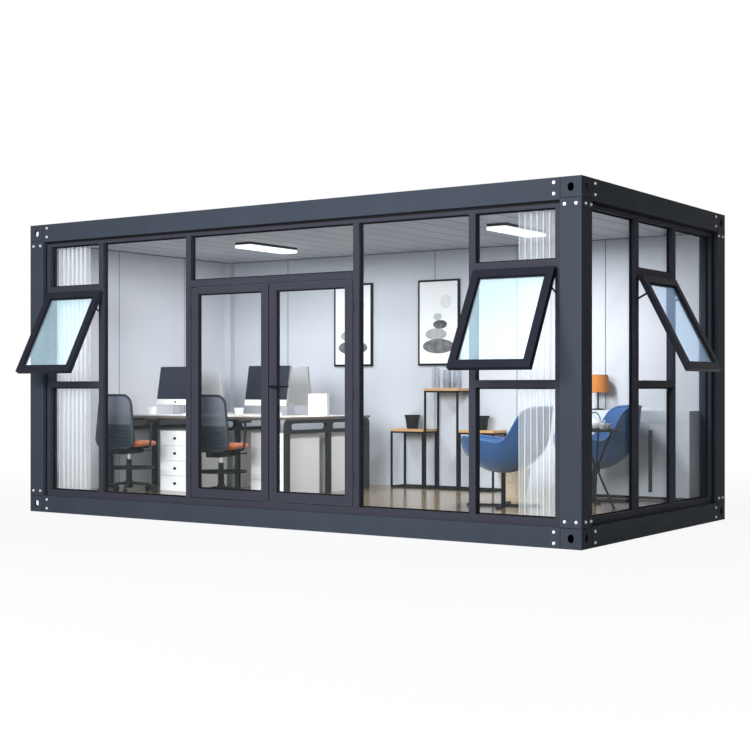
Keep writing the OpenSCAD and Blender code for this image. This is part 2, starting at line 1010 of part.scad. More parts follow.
// A cube and two small pots, filled with earth to just below their rims
module desk_planters() {
    color(white_colour)
        translate([desk_x0, desk_front_y, desk_top_z]) {
            translate([desk_place_w + cube_planter_set, cube_planter_y, 0])
                rotate([0, 0, cube_planter_turn])
                    translate([-cube_planter_w / 2, -cube_planter_d / 2, 0])
                        difference() {
                            cube([cube_planter_w, cube_planter_d, cube_planter_h]);
                            translate([planter_wall, planter_wall, cube_planter_h - planter_recess])
                                cube([cube_planter_w - 2 * planter_wall, cube_planter_d - 2 * planter_wall,
                                    planter_recess + eps]);
                        }
            for (x = small_pot_x)
                translate([x, small_pot_y, 0])
                    difference() {
                        cylinder(r1 = small_pot_low_r, r2 = small_pot_high_r, h = small_pot_h);
                        translate([0, 0, small_pot_h - planter_recess])
                            cylinder(r = small_pot_high_r - planter_wall / 2, h = planter_recess + eps);
                    }
        }
}

// ---- Office chairs -----------------------------------------------------

chair_y = desk_front_y - chair_axis_set;
chair_xs = [desk_x0 + chair_left_x, desk_x0 + chair_left_x + desk_place_w + monitor_spread];
column_r = 25;
column_top = 430;
swivel_gap = 0.3;
castor_r = 28;
arm_w = 34;
arm_h = 26;
base_hub_h = 130;
ring_r = 240;
ring_tube_r = 9;
ring_spoke_w = 12;
ring_z = 247;

// Five-star base with its castors and column, centred on the chair axis
module chair_base() {
    cylinder(r = column_r, h = column_top);
    cylinder(r = 2 * column_r, h = base_hub_h);
    translate([0, 0, ring_z]) {
        rotate_extrude()
            translate([ring_r, 0])
                circle(r = ring_tube_r);
        for (i = [0 : 1])
            rotate([0, 0, 45 + i * 90])
                translate([-ring_r, -ring_spoke_w / 2, -ring_spoke_w / 2])
                    cube([2 * ring_r, ring_spoke_w, ring_spoke_w]);
    }
    for (i = [0 : 4])
        rotate([0, 0, i * 72 + 18]) {
            translate([0, -arm_w / 2, 2 * castor_r])
                cube([base_r, arm_w, arm_h]);
            translate([base_r - castor_r, -arm_w / 2, castor_r])
                rotate([-90, 0, 0])
                    cylinder(r = castor_r, h = arm_w);
        }
}

module chair_bases() {
    color(black_colour)
        for (x = chair_xs)
            translate([x, chair_y, floor_z])
                chair_base();
}

mechanism_w = 160;
cushion_t = 60;
mechanism_h = seat_h - cushion_t - column_top - swivel_gap;

// Seat cushion, flat on its mechanism, the front of the seat towards +Y
module chair_seat(x) {
    color([0.90, 0.42, 0.16])
        translate([x, chair_y, floor_z + seat_h - cushion_t])
            rotate([0, 0, chair_turn])
                translate([-seat_w / 2, -seat_d / 2, 0])
                    linear_extrude(height = cushion_t)
                        round_rect_2d(seat_w, seat_d, 70);
}

back_t = 40;
back_w = 460;
back_h = 545;
back_r = 90;
spine_w = 60;
spine_t = 24;

// Mechanism under the seat, the spine behind it and the backrest
module chair_back(x) {
    color([0.34, 0.37, 0.40])
        translate([x, chair_y, floor_z])
            rotate([0, 0, chair_turn]) {
                translate([-mechanism_w / 2, -seat_d / 2 - spine_t, column_top + swivel_gap])
                    cube([mechanism_w, seat_d + spine_t - 60, mechanism_h]);
                translate([-spine_w / 2, -seat_d / 2 - spine_t, column_top + swivel_gap])
                    cube([spine_w, spine_t, chair_h - column_top - 250]);
                translate([-back_w / 2, -seat_d / 2 - spine_t, chair_h - back_h])
                    rotate([90, 0, 0])
                        linear_extrude(height = back_t)
                            round_rect_2d(back_w, back_h, back_r);
            }
}

module chair_seat_left() {
    chair_seat(chair_xs[0]);
}

module chair_back_left() {
    chair_back(chair_xs[0]);
}

module chair_seat_right() {
    chair_seat(chair_xs[1]);
}

module chair_back_right() {
    chair_back(chair_xs[1]);
}

// ---- Console tables and pictures ---------------------------------------

console_x = [-470, -60, 350];
console_h = [console_low_h, console_high_h, console_low_h];
console_back = back_in - 5;

// An open box frame of square tube
module console_frame(width, depth, height) {
    tube = console_tube;
    difference() {
        cube([width, depth, height]);
        translate([tube, tube, tube])
            cube([width - 2 * tube, depth - 2 * tube, height - 2 * tube]);
        translate([-eps, tube, tube])
            cube([width + 2 * eps, depth - 2 * tube, height - 2 * tube]);
        translate([tube, -eps, tube])
            cube([width - 2 * tube, depth + 2 * eps, height - 2 * tube]);
        translate([tube, tube, -eps])
            cube([width - 2 * tube, depth - 2 * tube, height + 2 * eps]);
    }
}

module console_frames() {
    color(black_colour)
        for (i = [0 : 2])
            translate([console_x[i], console_back - console_d, floor_z])
                console_frame(console_w, console_d, console_h[i] - console_top_t);
}

module console_tops() {
    color(oak_colour)
        for (i = [0 : 2])
            translate([console_x[i], console_back - console_d, floor_z + console_h[i] - console_top_t])
                cube([console_w, console_d, console_top_t]);
}

picture_w = 500;
picture_h = 890;
picture_t = 25;
picture_z = 1440;
picture_x = [-1370, -290];

module pictures() {
    color(black_colour)
        for (x = picture_x)
            translate([x, back_in - picture_t, picture_z])
                cube([picture_w, picture_t, picture_h]);
}

// ---- Lounge corner -----------------------------------------------------

shell_places = [[1620, -250, -70], [2080, 590, -56]];
leg_bar_w = 36;
leg_bar_h = 18;
lounge_column_r = 20;

// Outline of half the shell's wall, from the axis out and up
module shell_wall_2d() {
    rise = shell_back_h - shell_low_h;
    bowl = shell_r - 10;
    intersection() {
        square([shell_r, rise]);
        difference() {
            union() {
                translate([shell_r - bowl, bowl])
                    circle(r = bowl);
                square([shell_r - bowl, bowl]);
                translate([0, bowl])
                    square([shell_r, rise]);
            }
            intersection() {
                union() {
                    translate([shell_r - bowl, bowl])
                        circle(r = bowl - shell_t);
                    translate([-eps, bowl / 2])
                        square([shell_r - bowl + eps, bowl]);
                    translate([-eps, bowl])
                        square([shell_r - shell_t + eps, rise]);
                }
                translate([-eps, 3 * shell_t])
                    square([shell_r, rise]);
            }
        }
    }
}

// The rim from the side: place along the depth, and share of the rise from arm to back
rim_points = [[-2, 0.06], [-1, 0.06], [-0.35, -0.1], [0.06, -0.2], [0.22, -0.03], [0.38, 0.42],
    [0.48, 0.8], [0.7, 0.98], [1, 1.02], [2, 1.02], [2, 4], [-2, 4]];
front_open_r = 200;

// Shell with raised arms, open at its front, whose back is towards +Y
module lounge_shell() {
    arm_rise = shell_arm_h - shell_low_h;
    back_rise = shell_back_h - shell_arm_h;
    difference() {
        rotate_extrude($fn = 64)
            shell_wall_2d();
        rotate([90, 0, 90])
            linear_extrude(height = 3 * shell_r, center = true)
                polygon([for (p = rim_points) [p[0] * shell_r, arm_rise + p[1] * back_rise]]);
        translate([0, -shell_r * 0.2, shell_front_h - shell_low_h + front_open_r])
            rotate([90, 0, 0])
                cylinder(r = front_open_r, h = shell_r);
    }
}

module lounge_shells() {
    color(blue_colour)
        for (place = shell_places)
            translate([place[0], place[1], floor_z + shell_low_h])
                rotate([0, 0, place[2]])
                    lounge_shell();
}

module lounge_bases() {
    color(black_colour)
        for (place = shell_places)
            translate([place[0], place[1], floor_z]) {
                cylinder(r = lounge_column_r, h = shell_low_h);
                for (i = [0, 1])
                    rotate([0, 0, place[2] + i * 90])
                        translate([-shell_r * 0.8, -leg_bar_w / 2, 0])
                            cube([shell_r * 1.6, leg_bar_w, leg_bar_h]);
            }
}

table_place = [2375, 35];
table_t = 14;
table_bar_w = 14;

table_hub_r = 30;
table_hub_h = 60;

// A straight square bar between two points
module bar(p0, p1, w) {
    d = p1 - p0;
    translate(p0)
        rotate([0, acos(d[2] / norm(d)), atan2(d[1], d[0])])
            translate([-w / 2, -w / 2, 0])
                cube([w, w, norm(d)]);
}

// Round top on three bars that cross in a hub at mid height
module side_table() {
    foot = table_r * 0.85;
    color(black_colour)
        translate([table_place[0], table_place[1], floor_z]) {
            translate([0, 0, table_h - table_t])
                cylinder(r = table_r, h = table_t);
            translate([0, 0, (table_h - table_hub_h) / 2])
                cylinder(r = table_hub_r, h = table_hub_h);
            intersection() {
                cylinder(r = 2 * table_r, h = table_h - table_t / 2);
                for (i = [0 : 2])
                    bar([foot * cos(i * 120), foot * sin(i * 120), -table_bar_w],
                        [-foot * cos(i * 120), -foot * sin(i * 120), table_h + table_bar_w],
                        table_bar_w);
            }
        }
}

planter_gap = 5;
planter_x0 = in_x - planter_gap - planter_l;
planter_y0 = back_in - planter_gap - planter_d;
planter_top_z = floor_z + planter_h;
soil_drop = 15;
board_t = 20;
lamp_shelf = 200;
joint_w = 5;
joint_d = 4;
lid_h = 110;
door_split = 0.62;

// Cabinet with a trough of earth in its top and doors below
module planter_cabinet() {
    color(white_colour)
        translate([planter_x0, planter_y0, floor_z])
            difference() {
                cube([planter_l, planter_d, planter_h]);
                translate([lamp_shelf, board_t, planter_h - soil_drop])
                    cube([planter_l - lamp_shelf - board_t, planter_d - 2 * board_t, soil_drop + eps]);
                translate([-eps, -eps, planter_h - lid_h])
                    cube([planter_l + 2 * eps, joint_d + eps, joint_w]);
                translate([planter_l * door_split, -eps, -eps])
                    cube([joint_w, joint_d + eps, planter_h - lid_h + joint_w]);
            }
}

lamp_inset = 70;
lamp_foot_r = 60;
lamp_foot_h = 15;
lamp_stem_r = 8;
lamp_stem_h = 165;
shade_low_r = 112;
shade_high_r = 95;
shade_h = 170;

// Lamp on the planter's closed end, its shade shut by diffusers
module table_lamp() {
    color([0.85, 0.50, 0.16])
        translate([planter_x0 + lamp_inset, planter_y0 + planter_d / 2, planter_top_z]) {
            cylinder(r = lamp_foot_r, h = lamp_foot_h);
            cylinder(r = lamp_stem_r, h = lamp_stem_h);
            translate([0, 0, lamp_stem_h])
                cylinder(r1 = shade_low_r, r2 = shade_high_r, h = shade_h);
        }
}

pot_x = 1200;
pot_y = 720;
pot_h = 270;

module floor_pot() {
    color([0.80, 0.74, 0.64])
        translate([pot_x, pot_y, floor_z])
            difference() {
                cylinder(r1 = 110, r2 = 160, h = pot_h);
                translate([0, 0, pot_h - soil_drop])
                    cylinder(r = 146, h = soil_drop + eps);
            }
}

base_beams();
roof_beams();
corner_posts();
base_castings();
roof_castings();
floor_joists();
floor_deck();
roof_purlins();
roof_deck();
ceiling();
back_wall_panels();
left_wall_panels();
corner_liner();
front_rails();
front_mullions();
front_panes();
end_rails();
end_mullions();
end_panes();
sash_frames();
sash_panes();
sash_stays();
door_frame_hinges();
door_leaf_left();
door_pane_left();
door_hinges_left();
door_leaf_right();
door_pane_right();
door_hinges_right();
door_lever();
ceiling_lights();
curtain_rails();
curtain_left();
curtain_right();
desk_tops();
desk_frames();
pedestals();
monitors();
desk_planters();
chair_bases();
chair_seat_left();
chair_back_left();
chair_seat_right();
chair_back_right();
console_frames();
console_tops();
pictures();
lounge_shells();
lounge_bases();
side_table();
table_lamp();
planter_cabinet();
floor_pot();
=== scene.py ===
"""Dresses the container office cabin: finishes, glazing, fastenings, curtains and furniture.

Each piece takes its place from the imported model, whose own nodes keep their shapes and only get finishes.
"""

import logging
import math
from dataclasses import dataclass, field
from enum import Enum
from itertools import product

import bmesh
import bpy
from mathutils import Matrix, Vector
from mathutils.bvhtree import BVHTree


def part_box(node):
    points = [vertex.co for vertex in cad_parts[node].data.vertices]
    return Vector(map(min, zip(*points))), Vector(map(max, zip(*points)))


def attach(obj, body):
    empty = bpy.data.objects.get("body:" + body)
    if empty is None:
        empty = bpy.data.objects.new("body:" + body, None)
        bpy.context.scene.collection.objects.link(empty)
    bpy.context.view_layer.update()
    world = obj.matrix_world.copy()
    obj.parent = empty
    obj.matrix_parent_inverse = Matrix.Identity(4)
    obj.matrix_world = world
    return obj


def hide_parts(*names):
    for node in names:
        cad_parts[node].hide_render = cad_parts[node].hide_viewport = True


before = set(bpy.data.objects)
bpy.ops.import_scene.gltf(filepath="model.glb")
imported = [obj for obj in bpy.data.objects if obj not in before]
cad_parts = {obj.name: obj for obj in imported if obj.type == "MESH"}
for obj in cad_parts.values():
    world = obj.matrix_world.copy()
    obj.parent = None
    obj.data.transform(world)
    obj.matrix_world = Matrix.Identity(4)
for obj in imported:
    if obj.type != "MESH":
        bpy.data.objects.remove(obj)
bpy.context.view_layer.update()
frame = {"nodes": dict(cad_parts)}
LOG = logging.getLogger("cabin")

Colour = tuple[float, float, float]
Point = tuple[float, float, float]


def srgb(red: float, green: float, blue: float) -> Colour:
    """Linear colour of a display colour.

    Args:
        red, green, blue: channels from 0 to 255.

    Returns:
        The three linear channels.
    """
    levels = [value / 255 for value in (red, green, blue)]
    return tuple(v / 12.92 if v <= 0.04045 else ((v + 0.055) / 1.055) ** 2.4 for v in levels)


def tinted(colour: Colour, share: float) -> Colour:
    """A colour made lighter or darker.

    Args:
        colour: linear colour.
        share: 1 keeps it, more is lighter.

    Returns:
        The new colour, held at 1.
    """
    return tuple(min(1.0, channel * share) for channel in colour)


def with_alpha(value: object) -> object:
    """A colour with its fourth channel; a socket stays as it is."""
    return (*value, 1.0) if isinstance(value, tuple) else value


class Axis(Enum):
    """The direction that boards or grain lie across."""

    X = 0
    Y = 1
    Z = 2

# ---- Finishes ----------------------------------------------------------


class Nodes:
    """Fills a node tree."""

    def __init__(self, tree: bpy.types.NodeTree) -> None:
        """Starts with the tree empty."""
        self.tree = tree
        tree.nodes.clear()

    def node(self, kind: str, inputs: dict | None = None, **settings: object) -> bpy.types.Node:
        """Adds a node.

        Args:
            kind: the node's type.
            inputs: values or sockets for its inputs, by name or number.
            settings: values of its own properties.

        Returns:
            The node.
        """
        made = self.tree.nodes.new(kind)
        for key, value in settings.items():
            setattr(made, key, value)
        for key, value in (inputs or {}).items():
            if isinstance(value, bpy.types.NodeSocket):
                self.tree.links.new(value, made.inputs[key])
            else:
                made.inputs[key].default_value = value
        return made

    def maths(self, operation: str, first: object, second: object = 0.0) -> bpy.types.NodeSocket:
        """Result of one sum on two values or sockets."""
        return self.node("ShaderNodeMath", {0: first, 1: second}, operation=operation).outputs[0]

    def plus(self, first: object, second: object) -> bpy.types.NodeSocket:
        """The sum of two values or sockets."""
        return self.maths("ADD", first, second)

    def minus(self, first: object, second: object) -> bpy.types.NodeSocket:
        """The first value or socket less the second."""
        return self.maths("SUBTRACT", first, second)

    def times(self, first: object, second: object) -> bpy.types.NodeSocket:
        """The product of two values or sockets."""
        return self.maths("MULTIPLY", first, second)

    def over(self, first: object, second: object) -> bpy.types.NodeSocket:
        """The first value or socket divided by the second."""
        return self.maths("DIVIDE", first, second)

    def triple(self, x: object = 0.0, y: object = 0.0, z: object = 0.0) -> bpy.types.NodeSocket:
        """A vector of three values or sockets."""
        return self.node("ShaderNodeCombineXYZ", {0: x, 1: y, 2: z}).outputs[0]

    def seen(self) -> bpy.types.NodeSocket:
        """1 for what the camera sees straight, mirrored or through glass, and 0 for bounced light."""
        path = self.node("ShaderNodeLightPath").outputs
        either = self.maths("MAXIMUM", path["Is Camera Ray"], path["Is Glossy Ray"])
        return self.maths("MAXIMUM", either, path["Is Transmission Ray"])

    def mix(self, factor: object, first: bpy.types.NodeSocket, second: bpy.types.NodeSocket) -> bpy.types.NodeSocket:
        """Mixes two shaders."""
        return self.node("ShaderNodeMixShader", {0: factor, 1: first, 2: second}).outputs[0]


class Shader(Nodes):
    """The node tree of one material, with its patterns on Object coordinates."""

    def __init__(self, name: str) -> None:
        """Starts an empty material."""
        self.material = bpy.data.materials.new(name)
        self.material.use_nodes = True
        super().__init__(self.material.node_tree)

    def place(self, scale: Point = (1, 1, 1)) -> bpy.types.NodeSocket:
        """Object coordinates, scaled."""
        where = self.node("ShaderNodeTexCoord").outputs["Object"]
        return self.node("ShaderNodeMapping", {"Vector": where, "Scale": scale}).outputs["Vector"]

    def noise(self, where: bpy.types.NodeSocket, scale: float, detail: float = 3.0) -> bpy.types.NodeSocket:
        """Noise from 0 to 1 at a scale in patches a metre."""
        return self.node("ShaderNodeTexNoise", {"Vector": where, "Scale": scale, "Detail": detail}).outputs[0]

    def spread(self, value: bpy.types.NodeSocket, low: float, high: float) -> bpy.types.NodeSocket:
        """Maps the middle of a noise onto a range from low to high."""
        inputs = {"Value": value, "From Min": 0.3, "From Max": 0.7, "To Min": low, "To Max": high}
        return self.node("ShaderNodeMapRange", inputs).outputs["Result"]

    def blend(self, factor: object, first: object, second: object) -> bpy.types.NodeSocket:
        """Mixes two colours, given as values or sockets."""
        inputs = {0: factor, 6: with_alpha(first), 7: with_alpha(second)}
        return self.node("ShaderNodeMix", inputs, data_type="RGBA").outputs[2]

    def tones(self, factor: object, colour: Colour, low: float, high: float) -> bpy.types.NodeSocket:
        """A colour that swings between two shares of its lightness."""
        return self.blend(factor, tinted(colour, low), tinted(colour, high))

    def part(self, where: bpy.types.NodeSocket, axis: Axis) -> bpy.types.NodeSocket:
        """One coordinate of a vector."""
        return self.node("ShaderNodeSeparateXYZ", {"Vector": where}).outputs[axis.value]

    def line(self, along: bpy.types.NodeSocket, pitch: float, width: float) -> bpy.types.NodeSocket:
        """1 on evenly spaced lines and 0 between them.

        Args:
            along: coordinate that crosses the lines.
            pitch: distance of the lines in metres.
            width: their width in metres.

        Returns:
            The socket of the pattern.
        """
        offset = self.maths("ABSOLUTE", self.minus(self.maths("FRACT", self.over(along, pitch)), 0.5))
        return self.maths("GREATER_THAN", offset, 0.5 - width / pitch / 2)

    def facing(self) -> bpy.types.NodeSocket:
        """0 face on and 1 at grazing."""
        return self.node("ShaderNodeLayerWeight", {"Blend": 0.5}).outputs["Facing"]

    def upright(self, axis: Axis) -> bpy.types.NodeSocket:
        """How far a face looks along an axis, from 0 to 1."""
        normal = self.node("ShaderNodeNewGeometry").outputs["Normal"]
        return self.maths("ABSOLUTE", self.part(normal, axis))

    def relief(self, height: object, depth: float, edge: float = 0.0) -> bpy.types.NodeSocket:
        """A bump of a real depth, over edges rounded in the shading.

        Args:
            height: socket from 0 to 1.
            depth: its depth in metres.
            edge: radius of the edges, or 0.

        Returns:
            The normal socket.
        """
        inputs = {"Height": height, "Distance": depth, "Strength": 1.0}
        if edge:
            inputs["Normal"] = self.node("ShaderNodeBevel", {"Radius": edge}, samples=4).outputs["Normal"]
        return self.node("ShaderNodeBump", inputs).outputs["Normal"]

    def principled(
        self,
        colour: object,
        roughness: object,
        normal: bpy.types.NodeSocket | None = None,
        more: dict[str, object] | None = None,
    ) -> bpy.types.NodeSocket:
        """A Principled shader.

        Args:
            colour: base colour as three channels or a socket.
            roughness: value or socket.
            normal: the relief, if any.
            more: further inputs by name.

        Returns:
            The shader's socket.
        """
        inputs = {"Base Color": with_alpha(colour), "Roughness": roughness, **(more or {})}
        if normal is not None:
            inputs["Normal"] = normal
        return self.node("ShaderNodeBsdfPrincipled", inputs).outputs["BSDF"]

    def clear(self, colour: Colour) -> bpy.types.NodeSocket:
        """A see-through shader of a colour."""
        return self.node("ShaderNodeBsdfTransparent", {"Color": with_alpha(colour)}).outputs[0]

    def show(self, surface: bpy.types.NodeSocket) -> None:
        """Joins a shader to the output."""
        self.node("ShaderNodeOutputMaterial", {"Surface": surface})


@dataclass(frozen=True)
class Finish:
    """A named finish that makes its material once."""

    name: str
    colour: Colour
    roughness: float

    def material(self) -> bpy.types.Material:
        """The finish's material, made at its first use."""
        found = bpy.data.materials.get(self.name)
        if found is None:
            shader = Shader(self.name)
            shader.show(self.surface(shader))
            found = shader.material
        return found

    def surface(self, shader: Shader) -> bpy.types.NodeSocket:
        """The finish's shader; each kind of finish has its own."""
        raise NotImplementedError

    def rough(self, shader: Shader, noise: bpy.types.NodeSocket, less: float, more: float) -> bpy.types.NodeSocket:
        """The finish's roughness, less or more of it by a noise."""
        return shader.spread(noise, self.roughness - less, self.roughness + more)


@dataclass(frozen=True)
class Paint(Finish):
    """Powder coat, lacquer or moulded plastic: a fine peel, soft stains and rounded edges."""

    metallic: float = 0.0
    coat: float = 0.0
    stain: float = 0.1
    peel: float = 0.00005
    peel_scale: float = 700.0
    edge: float = 0.0015
    gloss: float = 0.5

    def surface(self, shader: Shader) -> bpy.types.NodeSocket:
        """Colour by broad patches and streaks, roughness by smudges, bump by the peel."""
        where = shader.place()
        streaks = shader.noise(shader.place((1.0, 1.0, 0.18)), 7.0, 5.0)
        worn = shader.times(shader.plus(shader.noise(where, 1.9, 4.0), streaks), 0.5)
        return shader.principled(
            shader.tones(shader.spread(worn, 0.0, 1.0), self.colour, 1 - self.stain, 1 + self.stain),
            self.rough(shader, shader.noise(where, 26.0, 5.0), 0.05, 0.08),
            shader.relief(shader.noise(where, self.peel_scale, 2.0), self.peel, self.edge),
            {"Metallic": self.metallic, "Coat Weight": self.coat, "Specular IOR Level": self.gloss},
        )


@dataclass(frozen=True)
class Zinc(Finish):
    """Zinc-coated sheet with its spangle."""

    spangle: float = 90.0

    def surface(self, shader: Shader) -> bpy.types.NodeSocket:
        """Cells of slightly different grey and roughness."""
        where = shader.place()
        cells = shader.node("ShaderNodeTexVoronoi", {"Vector": where, "Scale": self.spangle})
        shade = shader.part(cells.outputs["Color"], Axis.X)
        return shader.principled(
            shader.tones(shade, self.colour, 0.82, 1.12),
            shader.plus(shader.times(shade, 0.16), self.roughness),
            shader.relief(shader.noise(where, 240.0), 0.00004, 0.001),
            {"Metallic": 0.85},
        )


@dataclass(frozen=True)
class Boards(Finish):
    """Boards or sheet profiles side by side, each of its own tone, with a shallow joint."""

    pitch: float = 0.3
    joint: float = 0.004
    across: Axis = Axis.X
    contrast: float = 0.12
    joint_tone: float = 0.5
    start: float = 0.0

    def surface(self, shader: Shader) -> bpy.types.NodeSocket:
        """Tone by board number, dark lines at the joints and a brushed relief."""
        along = shader.minus(shader.part(shader.place(), self.across), self.start)
        number = shader.maths("FLOOR", shader.over(along, self.pitch))
        own = shader.node("ShaderNodeTexWhiteNoise", {"W": number}, noise_dimensions="1D").outputs["Value"]
        stretch = (0.6, 9.0, 9.0) if self.across is Axis.Y else (9.0, 0.6, 9.0)
        grain = shader.noise(shader.place(stretch), 3.0, 6.0)
        share = shader.plus(shader.times(own, 0.6), shader.times(grain, 0.4))
        tone = shader.tones(share, self.colour, 1 - self.contrast, 1 + self.contrast)
        gap = shader.line(along, self.pitch, self.joint)
        return shader.principled(
            shader.blend(gap, tone, tinted(self.colour, self.joint_tone)),
            self.rough(shader, grain, 0.04, 0.06),
            shader.relief(shader.minus(shader.times(grain, 0.06), gap), 0.0015),
        )


@dataclass(frozen=True)
class Tiles(Finish):
    """Polished stone-look tiles with thin joints."""

    tile: float = 0.8
    joint: float = 0.003
    vein: Colour = (0.4, 0.33, 0.26)
    shift: float = 0.3

    def surface(self, shader: Shader) -> bpy.types.NodeSocket:
        """A veined tone for each tile, matt sunk joints between glossy faces."""
        where = shader.place()
        sides = shader.part(where, Axis.X), shader.plus(shader.part(where, Axis.Y), self.shift)
        cells = [shader.maths("FLOOR", shader.over(side, self.tile)) for side in sides]
        own = shader.node("ShaderNodeTexWhiteNoise", {"Vector": shader.triple(*cells)}, noise_dimensions="3D")
        moved = shader.node("ShaderNodeVectorMath", {0: where, 1: own.outputs["Color"]}, operation="ADD").outputs[0]
        swirl = {"Vector": moved, "Scale": 2.6, "Detail": 9.0, "Distortion": 1.6}
        veins = shader.node("ShaderNodeTexNoise", swirl).outputs[0]
        tone = shader.blend(shader.spread(veins, 0.0, 0.45), self.colour, self.vein)
        tone = shader.blend(shader.times(own.outputs["Value"], 0.08), tone, (0.8, 0.74, 0.64))
        gaps = [shader.line(shader.plus(side, self.tile / 2), self.tile, self.joint) for side in sides]
        gap = shader.maths("MAXIMUM", *gaps)
        return shader.principled(
            shader.blend(gap, tone, tinted(self.colour, 0.45)),
            shader.plus(shader.times(gap, 0.5), self.roughness),
            shader.relief(shader.minus(1.0, gap), 0.0012),
            {"Specular IOR Level": 0.3},
        )


@dataclass(frozen=True)
class Wood(Finish):
    """Veneer with its grain along X and a band of its own colour on its edges."""

    dark: Colour
    edge_colour: Colour

    def surface(self, shader: Shader) -> bpy.types.NodeSocket:
        """Stretched noise and rings for the grain, pores in the bump."""
        where = shader.place((0.9, 11.0, 11.0))
        bands = {"Vector": where, "Scale": 0.7, "Distortion": 5.0, "Detail": 4.0, "Detail Scale": 0.8}
        rings = shader.node("ShaderNodeTexWave", bands, bands_direction="Y").outputs["Fac"]
        pores = shader.noise(where, 16.0, 6.0)
        tone = shader.blend(shader.times(rings, 0.45), self.colour, self.dark)
        tone = shader.blend(shader.spread(pores, 0.0, 0.3), tone, self.dark)
        side = shader.maths("LESS_THAN", shader.upright(Axis.Z), 0.5)
        return shader.principled(
            shader.blend(shader.times(side, 0.85), tone, self.edge_colour),
            self.rough(shader, pores, 0.0, 0.15),
            shader.relief(pores, 0.00015, 0.001),
        )


@dataclass(frozen=True)
class Glass(Finish):
    """A thin pane: clear head on, mirroring towards grazing, with a faint film on it, and in open sashes an added
    painted reflection of the sky.
    """

    film: float = 0.03
    film_colour: Colour = (0.75, 0.85, 0.95)
    painted_sky_front: Colour | None = None
    painted_sky_end: Colour = (0.025, 0.05, 0.095)
    mirror_least: float = 0.004
    mirror_most: float = 0.35
    mirror_power: float = 6.0

    def surface(self, shader: Shader) -> bpy.types.NodeSocket:
        """See-through tint under an uneven film, a mirror that grows towards grazing, and in open sashes a painted
        sky reflection, brighter on front panes than on end panes.
        """
        smear = shader.noise(shader.place((1.0, 1.0, 0.5)), 1.1, 3.0)
        smear = shader.spread(smear, self.film * 0.6, self.film * 1.5)
        body = shader.mix(smear, shader.clear(self.colour), shader.principled(self.film_colour, 0.25))
        mirror = shader.principled((0.93, 0.96, 1.0), self.roughness, more={"Metallic": 1.0})
        grazing = shader.times(shader.maths("POWER", shader.facing(), self.mirror_power), self.mirror_most)
        pane = shader.mix(shader.plus(grazing, self.mirror_least), body, mirror)
        if self.painted_sky_front is None:
            return pane
        # Painted sky reflection added on top: one strength for panes facing the front, a weaker one for panes facing
        # the end.
        sideways = shader.maths("GREATER_THAN", shader.upright(Axis.X), 0.5)
        tint = shader.blend(sideways, self.painted_sky_front, self.painted_sky_end)
        sky = shader.node("ShaderNodeBsdfGlossy", {"Color": tint, "Roughness": 0.04}).outputs[0]
        return shader.node("ShaderNodeAddShader", {0: pane, 1: sky}).outputs[0]


@dataclass(frozen=True)
class Cloth(Finish):
    """Woven or felted upholstery."""

    thread: float = 0.0016
    felt: float = 0.0
    sheen: float = 0.35
    depth: float = 0.0003

    def surface(self, shader: Shader) -> bpy.types.NodeSocket:
        """Three crossed waves for the threads, or fibres for felt, under a soft sheen."""
        where = shader.place()
        wave = {"Vector": where, "Scale": 1.0 / self.thread / 6.283 * 3.1}
        waves = [shader.node("ShaderNodeTexWave", wave, bands_direction=way).outputs["Fac"] for way in "XYZ"]
        weave = shader.times(shader.plus(waves[0], shader.plus(waves[1], waves[2])), 0.333)
        fibre = shader.noise(where, 420.0, 6.0)
        height = shader.plus(shader.times(weave, 1 - self.felt), shader.times(fibre, 0.5 + self.felt))
        broad = shader.spread(shader.noise(where, 9.0, 4.0), 0.0, 1.0)
        tone = shader.tones(broad, self.colour, 0.86, 1.12)
        tone = shader.blend(shader.spread(height, 0.0, 0.3), tone, tinted(self.colour, 0.62))
        return shader.principled(
            tone,
            self.rough(shader, fibre, 0.05, 0.1),
            shader.relief(height, self.depth),
            {"Sheen Weight": self.sheen, "Sheen Roughness": 0.4},
        )


@dataclass(frozen=True)
class Sheer(Finish):
    """Thin voile: a veil face on, dense where its folds turn edge on, with a faint painted glow."""

    cover: float = 0.36

    def surface(self, shader: Shader) -> bpy.types.NodeSocket:
        """Cloth with a painted glow, light through cloth, and open weave that closes along the folds."""
        slub = shader.noise(shader.place((60.0, 60.0, 2.0)), 5.0, 4.0)
        tone = shader.tones(shader.noise(shader.place(), 3.0), self.colour, 0.95, 1.0)
        # The threads' emission is painted light that brightens the pleats; the voile is no lamp.
        own_light = {"Emission Color": tone, "Emission Strength": 0.14}
        threads = shader.principled(tone, self.roughness, shader.relief(slub, 0.0004), own_light)
        glow = shader.node("ShaderNodeBsdfTranslucent", {"Color": tone}).outputs[0]
        dense = shader.spread(shader.times(shader.facing(), 1.3), self.cover - 0.03, 1.0)
        weave = shader.plus(dense, shader.spread(slub, -0.03, 0.03))
        weave = shader.maths("MINIMUM", weave, 1.0)
        return shader.mix(weave, shader.clear((0.97, 0.98, 1.0)), shader.mix(0.4, threads, glow))


